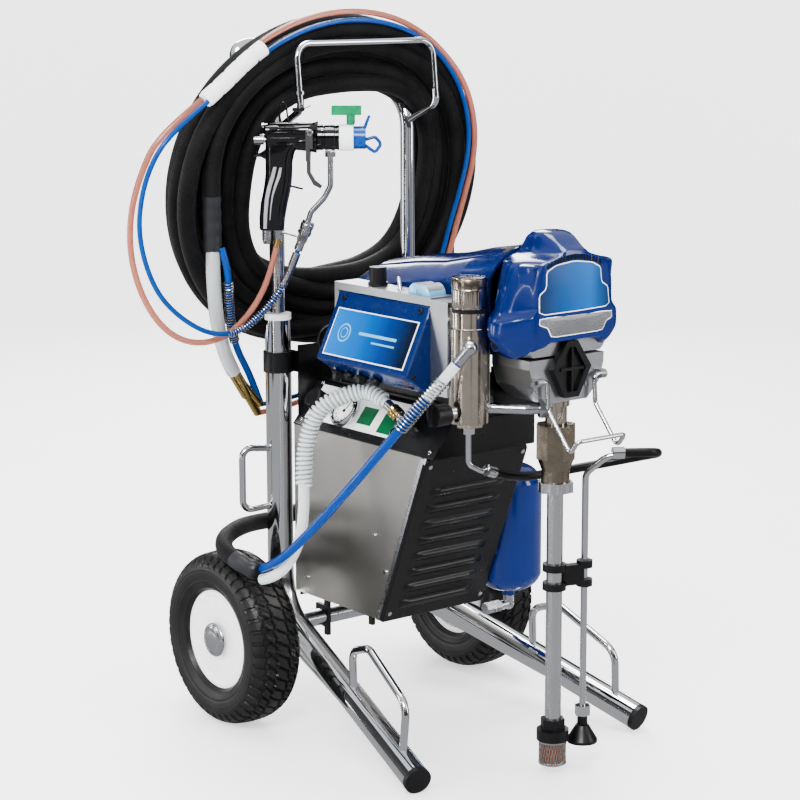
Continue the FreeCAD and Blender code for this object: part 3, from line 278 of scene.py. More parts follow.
def weave(name, col, hi, nu=26.0, nv=150.0):
    """Braided sleeve on the tube's UV (u round it, v metres along it)."""
    m = bpy.data.materials.new(name)
    nt, N, L, b = nodes_of(m)
    uv = N.new("ShaderNodeUVMap")
    uv.uv_map = "UVMap"
    sp = N.new("ShaderNodeSeparateXYZ")
    L.new(uv.outputs[0], sp.inputs[0])

    def math_(op, a, bb):
        n = N.new("ShaderNodeMath")
        n.operation = op
        for i, q in enumerate((a, bb)):
            if q is None:
                continue
            if isinstance(q, (int, float)):
                n.inputs[i].default_value = q
            else:
                L.new(q, n.inputs[i])
        return n.outputs[0]

    u = math_("MULTIPLY", sp.outputs[0], nu * 2 * math.pi)
    v = math_("MULTIPLY", sp.outputs[1], nv * 2 * math.pi)
    s1 = math_("SINE", math_("ADD", u, v), None)
    s2 = math_("SINE", math_("SUBTRACT", u, v), None)
    h = math_("MULTIPLY", s1, s2)
    tcn = N.new("ShaderNodeTexCoord")
    n1 = noise(nt, tcn.outputs["Object"], 16.0, 5.0)
    n2 = noise(nt, tcn.outputs["Object"], 240.0, 3.0)
    # colour follows the weave height as well as two noises: crowns lighter and hollows darker are painted highlight and
    # painted shade; the noises are tone drift in the strands
    fac = math_("ADD", math_("MULTIPLY", h, 0.20), math_("ADD", math_("MULTIPLY", n1.outputs["Fac"], 0.7), math_("MULTIPLY", n2.outputs["Fac"], 0.3)))
    r = ramp(nt, fac, [(0.30, col), (0.78, hi)])
    L.new(r.outputs[0], b.inputs["Base Color"])
    mr = maprange(nt, n2.outputs["Fac"], 0.50, 0.72)
    L.new(mr.outputs[0], b.inputs["Roughness"])
    bump(nt, fac, b, 0.55, 0.0012)
    setv(b, sheen=0.05, sheen_rough=0.4, spec=0.30)
    MATS[name] = m
    return m


weave("sleeve_weave", (0.0012, 0.0012, 0.0016), (0.0115, 0.011, 0.012))


def panel_mat(name, stops, axis=2, lo=0.0, hi=1.0, rough=0.25, metal=0.0, coat=0.15, diag=0.0):
    """A printed plate: colour runs along one object axis between lo and hi (metres), tilted by diag times y, with faint
    noise in it.
    """
    m = bpy.data.materials.new(name)
    nt, N, L, b = nodes_of(m)
    tcn = N.new("ShaderNodeTexCoord")
    sp = N.new("ShaderNodeSeparateXYZ")
    L.new(tcn.outputs["Object"], sp.inputs[0])
    src = sp.outputs[axis]
    if diag:
        mm = N.new("ShaderNodeMath")
        mm.operation = "MULTIPLY_ADD"
        L.new(sp.outputs[1], mm.inputs[0])
        mm.inputs[1].default_value = diag
        L.new(src, mm.inputs[2])
        src = mm.outputs[0]
    mr = maprange(nt, src, 0.0, 1.0, lo, hi)
    n1 = noise(nt, tcn.outputs["Object"], 9.0)
    ad = N.new("ShaderNodeMath")
    ad.operation = "MULTIPLY_ADD"
    L.new(n1.outputs["Fac"], ad.inputs[0])
    ad.inputs[1].default_value = 0.05
    L.new(mr.outputs[0], ad.inputs[2])
    r = ramp(nt, ad.outputs[0], stops)
    L.new(r.outputs[0], b.inputs["Base Color"])
    n2 = noise(nt, tcn.outputs["Object"], 60.0)
    m2 = maprange(nt, n2.outputs["Fac"], rough * 0.95, rough * 1.05)
    L.new(m2.outputs[0], b.inputs["Roughness"])
    setv(b, metal=metal, coat=coat, coat_rough=0.06)
    MATS[name] = m
    return m


panel_mat("face_blue", [(0.10, (0.0010, 0.006, 0.020)), (0.36, (0.0010, 0.030, 0.15)), (0.62, (0.0012, 0.085, 0.31)), (1.0, (0.002, 0.135, 0.42))], axis=1, lo=SY - 0.325, hi=SY - 0.13, diag=0.0)
panel_mat("cover_plate", [(0.0, (0.0005, 0.012, 0.050)), (0.35, (0.001, 0.050, 0.18)), (0.72, (0.0012, 0.085, 0.29)), (1.0, (0.0005, 0.016, 0.065))], axis=0, lo=-0.066, hi=0.058)

floor_m = surf("floor_matte", (0.90, 0.90, 0.905), 0.62, 0.0, var=0.008, vs=1.5, rv=0.06, rs=4)
fb = floor_m.node_tree.nodes["Principled BSDF"]
fb.inputs["Emission Color"].default_value = (1, 1, 1, 1)
fb.inputs["Emission Strength"].default_value = 0.60
flag_m = surf("flag_black", (0.015, 0.015, 0.015), 0.9, 0.0, var=0.1, vs=2)
# plain pale studio: a flat round floor whose rim curves up into a low wall on every side
sweep_v, sweep_f = [(0.0, 0.0, 0.0)], []
prof = [(0.9, 0.0), (2.0, 0.0), (3.9, 0.0)] + [(3.9 + 1.5 * math.sin(math.radians(a)), 1.5 - 1.5 * math.cos(math.radians(a))) for a in range(6, 91, 6)] + [(5.4, 3.6)]
NS_ = 96
for r_, z_ in prof:
    for k_ in range(NS_):
        a_ = 2 * math.pi * k_ / NS_
        sweep_v.append((r_ * math.cos(a_), r_ * math.sin(a_), z_))
for k_ in range(NS_):
    sweep_f.append((0, 1 + k_, 1 + (k_ + 1) % NS_))
for q_ in range(len(prof) - 1):
    for k_ in range(NS_):
        a_, b_ = 1 + q_ * NS_, 1 + (q_ + 1) * NS_
        sweep_f.append((a_ + k_, b_ + k_, b_ + (k_ + 1) % NS_, a_ + (k_ + 1) % NS_))
sweep_me = bpy.data.meshes.new("floor")
sweep_me.from_pydata(sweep_v, [], sweep_f)
for p_ in sweep_me.polygons:
    p_.use_smooth = True
sweep = link("floor", sweep_me)
sweep_me.materials.append(floor_m)
sweep.visible_glossy = False
# dark cards round the studio that only the bright metal sees
fw = Vector((0.622, 0.783, 0))
for nm_, a_, dist_, wid_ in (("card_a", 58.0, 2.7, 0.8), ("card_b", -52.0, 2.8, 0.9), ("card_c", 104.0, 2.6, 0.9), ("card_d", -98.0, 2.6, 0.8), ("card_e", 12.0, 3.6, 0.5), ("card_f", 165.0, 3.0, 1.0)):
    dr_ = (Matrix.Rotation(math.radians(a_), 3, "Z") @ (-fw)).normalized()
    sd_ = Vector((-dr_.y, dr_.x, 0))
    c_ = dr_ * dist_
    card_ = stage_quad(nm_, [c_ - sd_ * wid_ / 2, c_ + sd_ * wid_ / 2, c_ + sd_ * wid_ / 2 + Vector((0, 0, 2.4)), c_ - sd_ * wid_ / 2 + Vector((0, 0, 2.4))], flag_m)
    card_.visible_camera = card_.visible_diffuse = card_.visible_shadow = card_.visible_transmission = False


def paint(node, mat):
    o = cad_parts[node]
    m = MATS[mat]
    if not o.material_slots:
        o.data.materials.append(m)
    for s in o.material_slots:
        s.material = m


# ------------------------------------------------------------------ mesh helpers
def smooth(me, angle=None):
    for p in me.polygons:
        p.use_smooth = True
    if angle:
        me.set_sharp_from_angle(angle=math.radians(angle))


def mesh_obj(name, verts, faces, mat, body, smooth_angle=40):
    me = bpy.data.meshes.new(name)
    me.from_pydata([tuple(v) for v in verts], [], faces)
    me.validate()
    o = link(name, me)
    me.materials.append(MATS[mat])
    smooth(me, smooth_angle)
    if body:
        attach(o, body)
    return o


def from_bm(name, bm, mat, body, smooth_angle=40, mats=None):
    bmesh.ops.recalc_face_normals(bm, faces=bm.faces)
    me = bpy.data.meshes.new(name)
    bm.to_mesh(me)
    bm.free()
    o = link(name, me)
    for q in (mats or [mat]):
        me.materials.append(MATS[q])
    smooth(me, smooth_angle)
    if body:
        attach(o, body)
    return o


def basis(d):
    d = Vector(d).normalized()
    u = d.cross(Vector((0, 0, 1)))
    if u.length < 1e-4:
        u = d.cross(Vector((0, 1, 0)))
    u.normalize()
    return u, d.cross(u).normalized(), d


def add_rings(bm, a, d, prof, seg=32, mi=0, u=None):
    """Turned shape: (distance along d, radius) pairs from point a, closed at both ends."""
    uu, vv, dd = basis(d)
    rings = []
    for h, r in prof:
        c = Vector(a) + dd * h
        rings.append([bm.verts.new(c + (uu * math.cos(2 * math.pi * k / seg) + vv * math.sin(2 * math.pi * k / seg)) * max(r, 1e-5)) for k in range(seg)])
    for q0, q1 in zip(rings, rings[1:]):
        for k in range(seg):
            f = bm.faces.new((q0[k], q0[(k + 1) % seg], q1[(k + 1) % seg], q1[k]))
            f.material_index = mi
    for q in (rings[0], rings[-1]):
        f = bm.faces.new(q)
        f.material_index = mi
    return bm


def add_box(bm, c, size, bev=0.0, rot=None, mi=0, seg=2):
    """Rounded box centred on c, size in metres, rot a 3x3 or 4x4 turn."""
    tmp = bmesh.new()
    bmesh.ops.create_cube(tmp, size=1.0)
    for v in tmp.verts:
        v.co = Vector((v.co.x * size[0], v.co.y * size[1], v.co.z * size[2]))
    if bev > 0:
        bmesh.ops.bevel(tmp, geom=tmp.edges[:], offset=min(bev, 0.49 * min(size)), segments=seg, profile=0.6, affect="EDGES")
    M = Matrix.Translation(Vector(c)) @ (rot.to_4x4() if rot is not None else Matrix.Identity(4))
    vm = {}
    for v in tmp.verts:
        vm[v] = bm.verts.new(M @ v.co)
    for f in tmp.faces:
        nf = bm.faces.new([vm[v] for v in f.verts])
        nf.material_index = mi
    tmp.free()
    return bm


def add_prism(bm, pts, vec, bev=0.0, mi=0, seg=2):
    """Extruded polygon (3-D points) with rounded edges."""
    tmp = bmesh.new()
    vs = [tmp.verts.new(Vector(p)) for p in pts]
    f = tmp.faces.new(vs)
    r = bmesh.ops.extrude_face_region(tmp, geom=[f])
    for v in [g for g in r["geom"] if isinstance(g, bmesh.types.BMVert)]:
        v.co += Vector(vec)
    bmesh.ops.recalc_face_normals(tmp, faces=tmp.faces)
    if bev > 0:
        bmesh.ops.bevel(tmp, geom=tmp.edges[:], offset=bev, segments=seg, profile=0.6, affect="EDGES", clamp_overlap=True)
    vm = {v: bm.verts.new(v.co) for v in tmp.verts}
    for q in tmp.faces:
        try:
            nf = bm.faces.new([vm[v] for v in q.verts])
            nf.material_index = mi
        except ValueError:
            pass
    tmp.free()
    return bm


# ------------------------------------------------------------------ cords
def nurbs_line(pts, res=14):
    """Points along the smooth line that the route's points control."""
    cu = bpy.data.curves.new("route", "CURVE")
    cu.dimensions = "3D"
    sp = cu.splines.new("NURBS")
    sp.points.add(len(pts) - 1)
    for q, p in zip(sp.points, pts):
        q.co = (p[0], p[1], p[2], 1.0)
    sp.order_u = 3
    sp.use_endpoint_u = True
    cu.resolution_u = res
    o = link("route", cu)
    bpy.context.view_layer.update()
    me = bpy.data.meshes.new_from_object(o.evaluated_get(bpy.context.evaluated_depsgraph_get()))
    out = [Vector(v.co) for v in me.vertices]
    bpy.data.objects.remove(o)
    bpy.data.curves.remove(cu)
    bpy.data.meshes.remove(me)
    return out


def even(line, step):
    """The same line in equal steps."""
    P = np.array([tuple(p) for p in line])
    s = np.concatenate([[0], np.cumsum(np.linalg.norm(np.diff(P, axis=0), axis=1))])
    n = max(4, int(round(s[-1] / step)))
    t = np.linspace(0, s[-1], n + 1)
    Q = np.stack([np.interp(t, s, P[:, k]) for k in range(3)], 1)
    return [Vector(q) for q in Q], float(s[-1])


def frames(line):
    """A turning-free pair of cross directions at every point."""
    n = len(line)
    T = [(line[min(i + 1, n - 1)] - line[max(i - 1, 0)]).normalized() for i in range(n)]
    u = T[0].cross(Vector((0, 0, 1)))
    if u.length < 1e-3:
        u = T[0].cross(Vector((0, 1, 0)))
    u.normalize()
    U, W = [], []
    for t in T:
        u = (u - t * u.dot(t))
        u.normalize()
        U.append(u.copy())
        W.append(t.cross(u))
    return T, U, W


def tube(name, line, r, mat, seg=20, flat=None, rad=None):
    """Tube with UV: u round it, v metres along it. Its ring centres are the line."""
    T, U, W = frames(line)
    verts, faces, uvs, acc = [], [], [], 0.0
    vv = [0.0]
    for a, b in zip(line, line[1:]):
        acc += (b - a).length
        vv.append(acc)
    for i, p in enumerate(line):
        rr = rad(vv[i], acc) if rad else r
        for k in range(seg):
            a = 2 * math.pi * k / seg
            verts.append(p + U[i] * (rr * math.cos(a)) + W[i] * (rr * math.sin(a)))
    n = len(line)
    for i in range(n - 1):
        for k in range(seg):
            k2 = (k + 1) % seg
            faces.append((i * seg + k, i * seg + k2, (i + 1) * seg + k2, (i + 1) * seg + k))
            uvs.append([(k / seg, vv[i]), ((k + 1) / seg, vv[i]), ((k + 1) / seg, vv[i + 1]), (k / seg, vv[i + 1])])
    faces.append(tuple(reversed(range(seg))))
    uvs.append([(0, 0)] * seg)
    faces.append(tuple(range((n - 1) * seg, n * seg)))
    uvs.append([(0, 0)] * seg)
    me = bpy.data.meshes.new(name)
    me.from_pydata([tuple(v) for v in verts], [], faces)
    lay = me.uv_layers.new(name="UVMap")
    k = 0
    for q in uvs:
        for c in q:
            lay.data[k].uv = c
            k += 1
    o = link(name, me)
    me.materials.append(MATS[mat])
    smooth(me, 50)
    return o


def part_of(line, a, b):
    """The stretch of an evenly spaced line from a to b (metres along it, negative from its end)."""
    P = np.array([tuple(p) for p in line])
    s = np.concatenate([[0], np.cumsum(np.linalg.norm(np.diff(P, axis=0), axis=1))])
    L = s[-1]
    a = a if a >= 0 else L + a
    b = b if b > 0 else L + b
    step = max(0.0015, (b - a) / 200)
    t = np.arange(a, b + step / 2, step)
    return [Vector([float(np.interp(x, s, P[:, k])) for k in range(3)]) for x in t]


def helix(name, line, r, wire, pitch, mat, seg=6, per=14):
    """Wire wound round a line."""
    P = np.array([tuple(p) for p in line])
    s = np.concatenate([[0], np.cumsum(np.linalg.norm(np.diff(P, axis=0), axis=1))])
    L = s[-1]
    fine, _ = even(line, 0.003)
    T, U, W = frames(fine)
    sf = np.linspace(0, L, len(fine))
    n = int(L / pitch * per)
    pts = []
    for i in range(n + 1):
        d = L * i / n
        j = min(len(fine) - 1, int(round(d / L * (len(fine) - 1))))
        f = d / L * (len(fine) - 1)
        j0 = min(int(f), len(fine) - 2)
        g = f - j0
        c = fine[j0].lerp(fine[j0 + 1], g)
        u = U[j0].lerp(U[j0 + 1], g).normalized()
        w = W[j0].lerp(W[j0 + 1], g).normalized()
        a = 2 * math.pi * d / pitch
        pts.append(c + u * (r * math.cos(a)) + w * (r * math.sin(a)))
    return tube(name, pts, wire, mat, seg=seg)

# ------------------------------------------------------------------ hose coil
def ring_point(deg, f, ly, dr=0.0):
    """Centre of a strand in the coil: angle, 0 outermost to 1 innermost, place across the coil's width (mm)."""
    t = math.radians(10.2)
    c, s = math.cos(math.radians(deg)), math.sin(math.radians(deg))
    ro = 1.0 / math.sqrt((c / 261.0) ** 2 + (s / 239.0) ** 2)
    ri = (abs(c / 163.5) ** 3.2 + abs(s / 144.5) ** 3.2) ** (-1 / 3.2)
    xo, zo, xi, zi = ro * c, ro * s, 12 + ri * c, 4 + ri * s
    x, z = xo + (xi - xo) * f, zo + (zi - zo) * f
    g = 1.0 + dr / math.hypot(x, z)
    x, z = x * g, z * g
    return A(-16 + x, 40 + ly * math.cos(t) - z * math.sin(t), 772 + ly * math.sin(t) + z * math.cos(t))


TURNS = [(0.0, 12), (0.02, 18), (0.29, 18), (0.55, 18), (0.80, 17), (1.0, 15), (0.96, -8), (0.70, -3), (0.42, 1), (0.15, 0), (0.0, -17), (0.27, -19), (0.50, -19)]
rng = random.Random(7)
PH = [(rng.uniform(0, 6.28), rng.uniform(0, 6.28), rng.uniform(0.6, 1.0)) for _ in TURNS]
coil_pts = []
START, END, PER = -24.0, 205.0 + 360 * 11 - 0.0, 18
total = END - START
n_pts = int(total / 360 * PER)
for i in range(n_pts + 1):
    deg = START + total * i / n_pts
    tau = (deg + 70.0) / 360.0                      # turns change place at the lower right, where the machine hides them
    k = min(int(math.floor(tau)), len(TURNS) - 2)
    g = tau - k
    w = min(1.0, max(0.0, (g - 0.80) / 0.20))
    w = w * w * (3 - 2 * w)
    (f0, l0), (f1, l1) = TURNS[k], TURNS[min(k + 1, len(TURNS) - 1)]
    f, ly = f0 + (f1 - f0) * w, l0 + (l1 - l0) * w
    a = math.radians(deg)
    p = PH[k]
    q = PH[min(k + 1, len(PH) - 1)]
    wob = (1 - w) * p[2] * math.sin(a * 2 + p[0]) + w * q[2] * math.sin(a * 2 + q[0])
    wob2 = (1 - w) * p[2] * math.sin(a + p[1]) + w * q[2] * math.sin(a + q[1])
    f = min(1.0, max(0.0, f + 0.035 * wob))
    coil_pts.append(ring_point(deg, f, ly + 1.6 * wob2))
tail = [A(-228, 26, 706), A(-231, 22, 688)]
coil_pts = coil_pts[:-2] + tail
line = nurbs_line(coil_pts, 6)
coil_line, coil_len = even(line, 0.009)
coil = tube("coil_hose", coil_line, 0.0130, "sleeve_weave", seg=18)
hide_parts("hose_coil")
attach(coil, "handle")
shr_line = part_of(coil_line, coil_len - 0.085, coil_len - 0.0005)
shrink = tube("coil_end_shrink", shr_line, 0.0137, "shrink_grey", seg=22, rad=lambda v, L: 0.0137 + 0.0004 * math.sin(v * 300) - 0.0016 * max(0, v / L - 0.8))
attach(shrink, "handle")
print("coil length", coil_len)


# ------------------------------------------------------------------ free hoses
TURN = math.radians(-38.43)
GX, GY = -123.0 - 0.6216 * 8.0, -46.0 - 0.7833 * 8.0


def G(s, z, d=0.0):
    """Gun plane (mm): s forwards along the barrel, z up, d away from the viewer's side."""
    return A(GX + 0.7833 * s + 0.6216 * d, GY - 0.6216 * s + 0.7833 * d, z)


def rim(deg, grow, ly):
    c, q = math.cos(math.radians(deg)), math.sin(math.radians(deg))
    t = math.radians(10.2)
    x, y, z = (274 + grow) * c, ly, (252 + grow) * q
    return A(-16 + x, 40 + y * math.cos(t) - z * math.sin(t), 772 + y * math.sin(t) + z * math.cos(t))


WHIP_F = [G(-6, 690), G(-20, 652), G(-46, 611)] + [A(*p) for p in ((-197, 4, 571), (-243, 8, 572), (-287, 12, 596), (-325, 14, 632), (-349, 12, 679), (-363, 6, 732), (-360, -2, 784), (-347, -12, 828), (-322, -20, 863))] + [
    rim(136, -2, -31), rim(122, -3, -30), rim(108, -3, -29.5), rim(94, -3, -29.5), rim(80, -3, -29.5), rim(66, -3, -29.5), rim(52, -6, -31), rim(38, -12, -34), rim(24, -22, -37), rim(10, -34, -38), rim(-5, -46, -38)] + [
    A(*p) for p in ((196, 10, 700), (184, 14, 652), (173, 28, 606), (160, 48, 562), (140, 68, 526), (108, 82, 497), (66, 92, 474), (20, 95, 458), (-26, 92, 449), (-70, 86, 445), (-110, 80, 445))]
WHIP_A = [G(-34, 706), G(-42, 668), G(-62, 618)] + [A(*p) for p in ((-197, 20, 571), (-242, 24, 557), (-288, 26, 567), (-325, 28, 599), (-347, 36, 647), (-358, 38, 700), (-358, 32, 756), (-347, 20, 808), (-328, 8, 854))] + [
    rim(143, 8, -24), rim(131, 7.5, -19), rim(118, 7, -17), rim(105, 7, -16.5), rim(91, 7, -16.5), rim(77, 7, -16.5), rim(63, 6, -17), rim(50, 2, -24), rim(37, -3, -34), rim(23, -12, -37.5), rim(9, -22, -38), rim(-6, -34, -38)] + [
    A(*p) for p in ((208, 10, 694), (196, 15, 644), (185, 32, 598), (170, 56, 554), (146, 78, 516), (110, 94, 484), (66, 104, 460), (18, 107, 443), (-28, 104, 434), (-70, 98, 430), (-108, 92, 430))]


def hose(name, pts, r, mat, body, node, exit_p=None, far="fitting", length=None, stiff="medium", lay="loose", with_pieces=(), step=0.006, seg=18):
    ln, L = even(nurbs_line(pts, 12), step)
    o = tube(name, ln, r, mat, seg=seg)
    if node:
        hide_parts(node)
    if body:
        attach(o, body)
    return o, ln, L


wf, wf_l, wf_L = hose("whip_fluid_hose", WHIP_F, 0.0036, "hose_blue_thin", "handle", "whip_fluid")
sg = helix("whip_spring_guard", part_of(wf_l, 0.05, 0.165), 0.0052, 0.0009, 0.0042, "zinc_plate")
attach(sg, "handle")
cuff = tube("whip_gun_cuff", part_of(wf_l, 0.004, 0.055), 0.0056, "zinc_plate", seg=20, rad=lambda v, L: 0.0060 if v < 0.02 else 0.0052)
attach(cuff, "handle")
wa, wa_l, wa_L = hose("whip_air_hose", WHIP_A, 0.0044, "hose_pink", "handle", "whip_air")
cuff2 = tube("whip_air_cuff", part_of(wa_l, 0.001, 0.012), 0.0056, "brass_fit", seg=18)
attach(cuff2, "handle")


def wrap_piece(name, a, b, la, lb, mat="tape_white"):
    """Midline between both whips over one stretch, where the wrap holds them together, and half their widest gap."""
    p0 = part_of(la, *a)
    p1 = part_of(lb, *b)
    q0, _ = even(p0, 0.004)
    q1, _ = even(p1, 0.004)
    n = min(len(q0), len(q1))
    mid = [(q0[int(i * (len(q0) - 1) / (n - 1))] + q1[int(i * (len(q1) - 1) / (n - 1))]) / 2 for i in range(n)]
    half = max((q0[int(i * (len(q0) - 1) / (n - 1))] - q1[int(i * (len(q1) - 1) / (n - 1))]).length for i in range(n)) / 2
    return mid, half


def nearest_s(line, p):
    P = np.array([tuple(q) for q in line])
    s = np.concatenate([[0], np.cumsum(np.linalg.norm(np.diff(P, axis=0), axis=1))])
    return float(s[int(np.argmin(np.linalg.norm(P - np.array(tuple(p)), axis=1)))])


tA, tB = rim(150, -2, -31), rim(124, -3, -30)
f0, f1 = nearest_s(wf_l, tA), nearest_s(wf_l, tB)
a0, a1 = nearest_s(wa_l, tA), nearest_s(wa_l, tB)
mid, half = wrap_piece("w", (f0, f1), (a0, a1), wf_l, wa_l)
print("wrap half distance", half)
mid, _ = even(mid, 0.002)
wrap = tube("whip_wrap", mid, 0.0, "tape_white", seg=26, rad=lambda v, L: min(0.0112, half + 0.0052) + (0.0007 if (v / 0.024) % 1.0 > 0.12 else -0.0002))
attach(wrap, "handle")

# end of the coil: clear air tube, blue fluid tube with its spring guard
CE = [A(-230, 22, 692), A(-236, 14, 668), A(-232, 18, 636), A(-220, 32, 596), A(-202, 48, 556), A(-184, 60, 524), A(-166, 70, 502)]
ce, ce_l, ce_L = hose("coil_end_air", CE, 0.0105, "hose_clear", "handle", "coil_end_tube")
core = tube("coil_end_core", ce_l[1:-1], 0.0062, "hose_milky", seg=14)
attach(core, "handle")
CF = [A(-222, 12, 694), A(-219, 5, 672), A(-214, 8, 646), A(-204, 22, 612), A(-190, 38, 572), A(-168, 56, 536), A(-140, 70, 500), A(-122, 78, 470), A(-112, 80, 448)]
cf, cf_l, cf_L = hose("coil_end_fluid", CF, 0.0052, "hose_blue_thin", "handle", None)
sg2 = helix("coil_end_spring", part_of(cf_l, 0.05, 0.16), 0.0068, 0.0010, 0.0044, "zinc_plate")
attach(sg2, "handle")

# supply side
SL = [A(*p) for p in ((-240, -92, 246), (-262, -50, 262), (-244, -8, 276), (-196, 24, 280), (-140, 62, 272), (-80, 92, 262), (-14, 112, 262), (54, 122, 280), (116, 122, 314),
                      (168, 116, 362), (207, 108, 420), (232, 98, 482), (244, 86, 546), (242, 72, 606), (230, 60, 664))]
sl_l, sl_L = even(nurbs_line(SL, 12), 0.008)
sl = tube("supply_sleeve", sl_l, 0.0125, "sleeve_weave", seg=18)
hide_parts("main_sleeve")
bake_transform(sl)
sh2 = tube("supply_shrink", part_of(sl_l, 0.0005, 0.042), 0.0131, "shrink_grey", seg=22, rad=lambda v, L: 0.0131 + 0.0003 * math.sin(v * 260) - 0.0012 * max(0, 0.15 - v / L) / 0.15)
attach(sh2, "cart")

FIL = (-105.0, -392.0)
ca, sa = -0.6216, -0.7833
OUT = Vector((FIL[0] + ca * 44, FIL[1] + sa * 44, 598))
HD = Vector((-0.50, 0.39, -0.77)).normalized()
o1, o2 = OUT + HD * 26, OUT + HD * 62
s0 = Vector((-240, -92, 246))
sdv = (s0 - Vector((-262, -50, 262))).normalized()
e1 = s0 + sdv * 7.5
HB = [A(*o1), A(*o2)] + [A(*p) for p in ((-196, -364, 492), (-214, -314, 432), (-226, -262, 376), (-235, -210, 325), (-240, -160, 283), (-240, -122, 261))] + [A(e1.x, e1.y, e1.z + 7.8)]
hb, hb_l, hb_L = hose("supply_fluid_hose", HB, 0.0063, "hose_blue", "cart", "supply_hose_fluid")
wend = tube("supply_fluid_cuff", part_of(hb_l, 0.002, 0.062), 0.0071, "hose_milky", seg=20, rad=lambda v, L: 0.0074 - 0.0006 * v / L)
sg3 = helix("supply_fluid_spring", part_of(hb_l, 0.028, 0.118), 0.0088, 0.0011, 0.0050, "zinc_plate")
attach(wend, "cart")
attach(sg3, "cart")

nx, nz = -60.0 / math.hypot(60, 49), 49.0 / math.hypot(60, 49)


def on_slope(y, t, h):
    x, z = -115.0 + 49 * t, 432 + 60 * t
    return Vector((x + nx * h, y, z + nz * h))


b1 = on_slope(-262, 0.45, 22)
be = Vector((b1.x - 4, b1.y + 34, b1.z + 20))
bd = (be - b1).normalized()
h2 = be + bd * 22
HC = [A(*be), A(*h2), A(h2.x - 6, h2.y + 22, h2.z + 4)] + [A(*p) for p in ((-164, -152, 490), (-176, -138, 462), (-184, -132, 424), (-190, -136, 384), (-197, -146, 342), (-208, -152, 300), (-224, -144, 264), (-235, -122, 243))] + [
    A(e1.x, e1.y, e1.z - 7.8)]
hc, hc_l, hc_L = hose("supply_air_hose", HC, 0.0080, "hose_milky", "cart", "supply_hose_air")
hw = helix("supply_air_wire", part_of(hc_l, 0.004, 0.225), 0.0100, 0.0026, 0.0066, "hose_milky", seg=8)
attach(hw, "cart")
print("lengths", wf_L, wa_L, ce_L, cf_L, sl_L, hb_L, hc_L)

# ------------------------------------------------------------------ finishes of the hard parts
for node, m in {
    "side_rails": "chrome", "rod_loops": "chrome", "leg_caps": "black_plastic", "collars": "white_plastic", "axle": "zinc_plate", "hub_left": "hub_white", "hub_right": "hub_white",
    "tyre_left": "tyre_rubber", "tyre_right": "tyre_rubber", "handle_tube": "chrome", "hook_rod": "chrome", "housing_shell": "stainless_side", "housing_front": "black_powder",
    "control_panel": "black_powder", "pressure_gauge": "chrome", "regulator_knob": "black_plastic", "compressor": "cast_silver", "air_tank": "blue_tank", "machine_bracket": "black_powder",
    "motor_can": "steel_machined", "motor_rotor": "steel_machined", "motor_shroud": "blue_gloss", "front_cover": "blue_gloss", "rod_guard": "black_plastic", "drive_housing": "cast_silver",
    "crank": "steel_machined", "pump_rod": "steel_machined", "pail_hook": "chrome", "electronics_box": "cast_silver", "control_box": "blue_paint", "pressure_knob": "black_plastic",
    "toggle_switch": "zinc_plate", "filter_manifold": "nickel_warm", "pipe_fittings": "zinc_plate", "prime_knob": "black_plastic", "pump_barrel": "nickel_warm", "pump_intake": "bronze_dark",
    "suction_tube": "alu_satin", "strainer_fitting": "black_plastic", "strainer_basket": "steel_machined", "drain_tubes": "chrome", "drain_hose": "rubber_black", "drain_plastics": "black_plastic",
    "screws": "zinc_plate", "gun_body": "black_gloss", "air_cap_ring": "white_plastic", "tip_guard": "guard_blue", "tip_handle": "tip_green", "gun_trigger": "trigger_dark",
    "fan_knob": "steel_machined", "air_knob": "steel_machined", "gun_fluid_tube": "steel_machined", "coil_end_fittings": "brass_fit"}.items():
    paint(node, m)


# ------------------------------------------------------------------ softened edges on sheet and cast parts
MX, PUMP_Y = -4.0, -453.0
from mathutils.bvhtree import BVHTree


def soften(node, width, angle=35.0, seg=2):
    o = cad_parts[node]
    b = o.modifiers.new("edge", "BEVEL")
    b.width, b.segments, b.limit_method, b.angle_limit = width / 1000.0, seg, "ANGLE", math.radians(angle)
    b.use_clamp_overlap = True
    b.harden_normals = False


for node, wd_ in {"electronics_box": 1.6, "drive_housing": 2.2, "machine_bracket": 0.8, "rod_guard": 0.8, "leg_caps": 1.0, "prime_knob": 1.2, "pump_intake": 1.0,
                  "regulator_knob": 1.0, "pressure_knob": 1.0, "drain_plastics": 0.6, "gun_trigger": 0.6, "tip_handle": 0.9, "tip_guard": 0.6, "strainer_fitting": 0.8}.items():
    soften(node, wd_)


def mmp(prof):
    return [(h / 1000.0, r / 1000.0) for h, r in prof]


def turned(bm, a, d, prof, seg=32, mi=0):
    return add_rings(bm, a, d, mmp(prof), seg, mi)


def chaikin(pts, n=2, q=0.25):
    for _ in range(n):
        out, m = [], len(pts)
        for i in range(m):
            a, b = pts[i], pts[(i + 1) % m]
            out.append(tuple((1 - q) * u + q * w for u, w in zip(a, b)))
            out.append(tuple(q * u + (1 - q) * w for u, w in zip(a, b)))
        pts = out
    return pts


def loft(bm, loops, cap0=True, cap1=True, mi=0):
    """Skin through closed loops of equal count."""
    R = [[bm.verts.new(p) for p in lp] for lp in loops]
    n = len(R[0])
    for a, b in zip(R, R[1:]):
        for k in range(n):
            f = bm.faces.new((a[k], a[(k + 1) % n], b[(k + 1) % n], b[k]))
            f.material_index = mi
    if cap0:
        bm.faces.new(R[0]).material_index = mi
    if cap1:
        bm.faces.new(R[-1]).material_index = mi
    return R


def tree_of(o):
    me = o.data
    return BVHTree.FromPolygons([v.co.copy() for v in me.vertices], [tuple(p.vertices) for p in me.polygons])


def cast(tree, p, d, off):
    """The point where a ray from p along d meets the surface, lifted back by off millimetres."""
    hit = tree.ray_cast(p, Vector(d).normalized())
    q = hit[0] if hit[0] is not None else p + Vector(d).normalized() * 0.05
    return q - Vector(d).normalized() * (off / 1000.0)


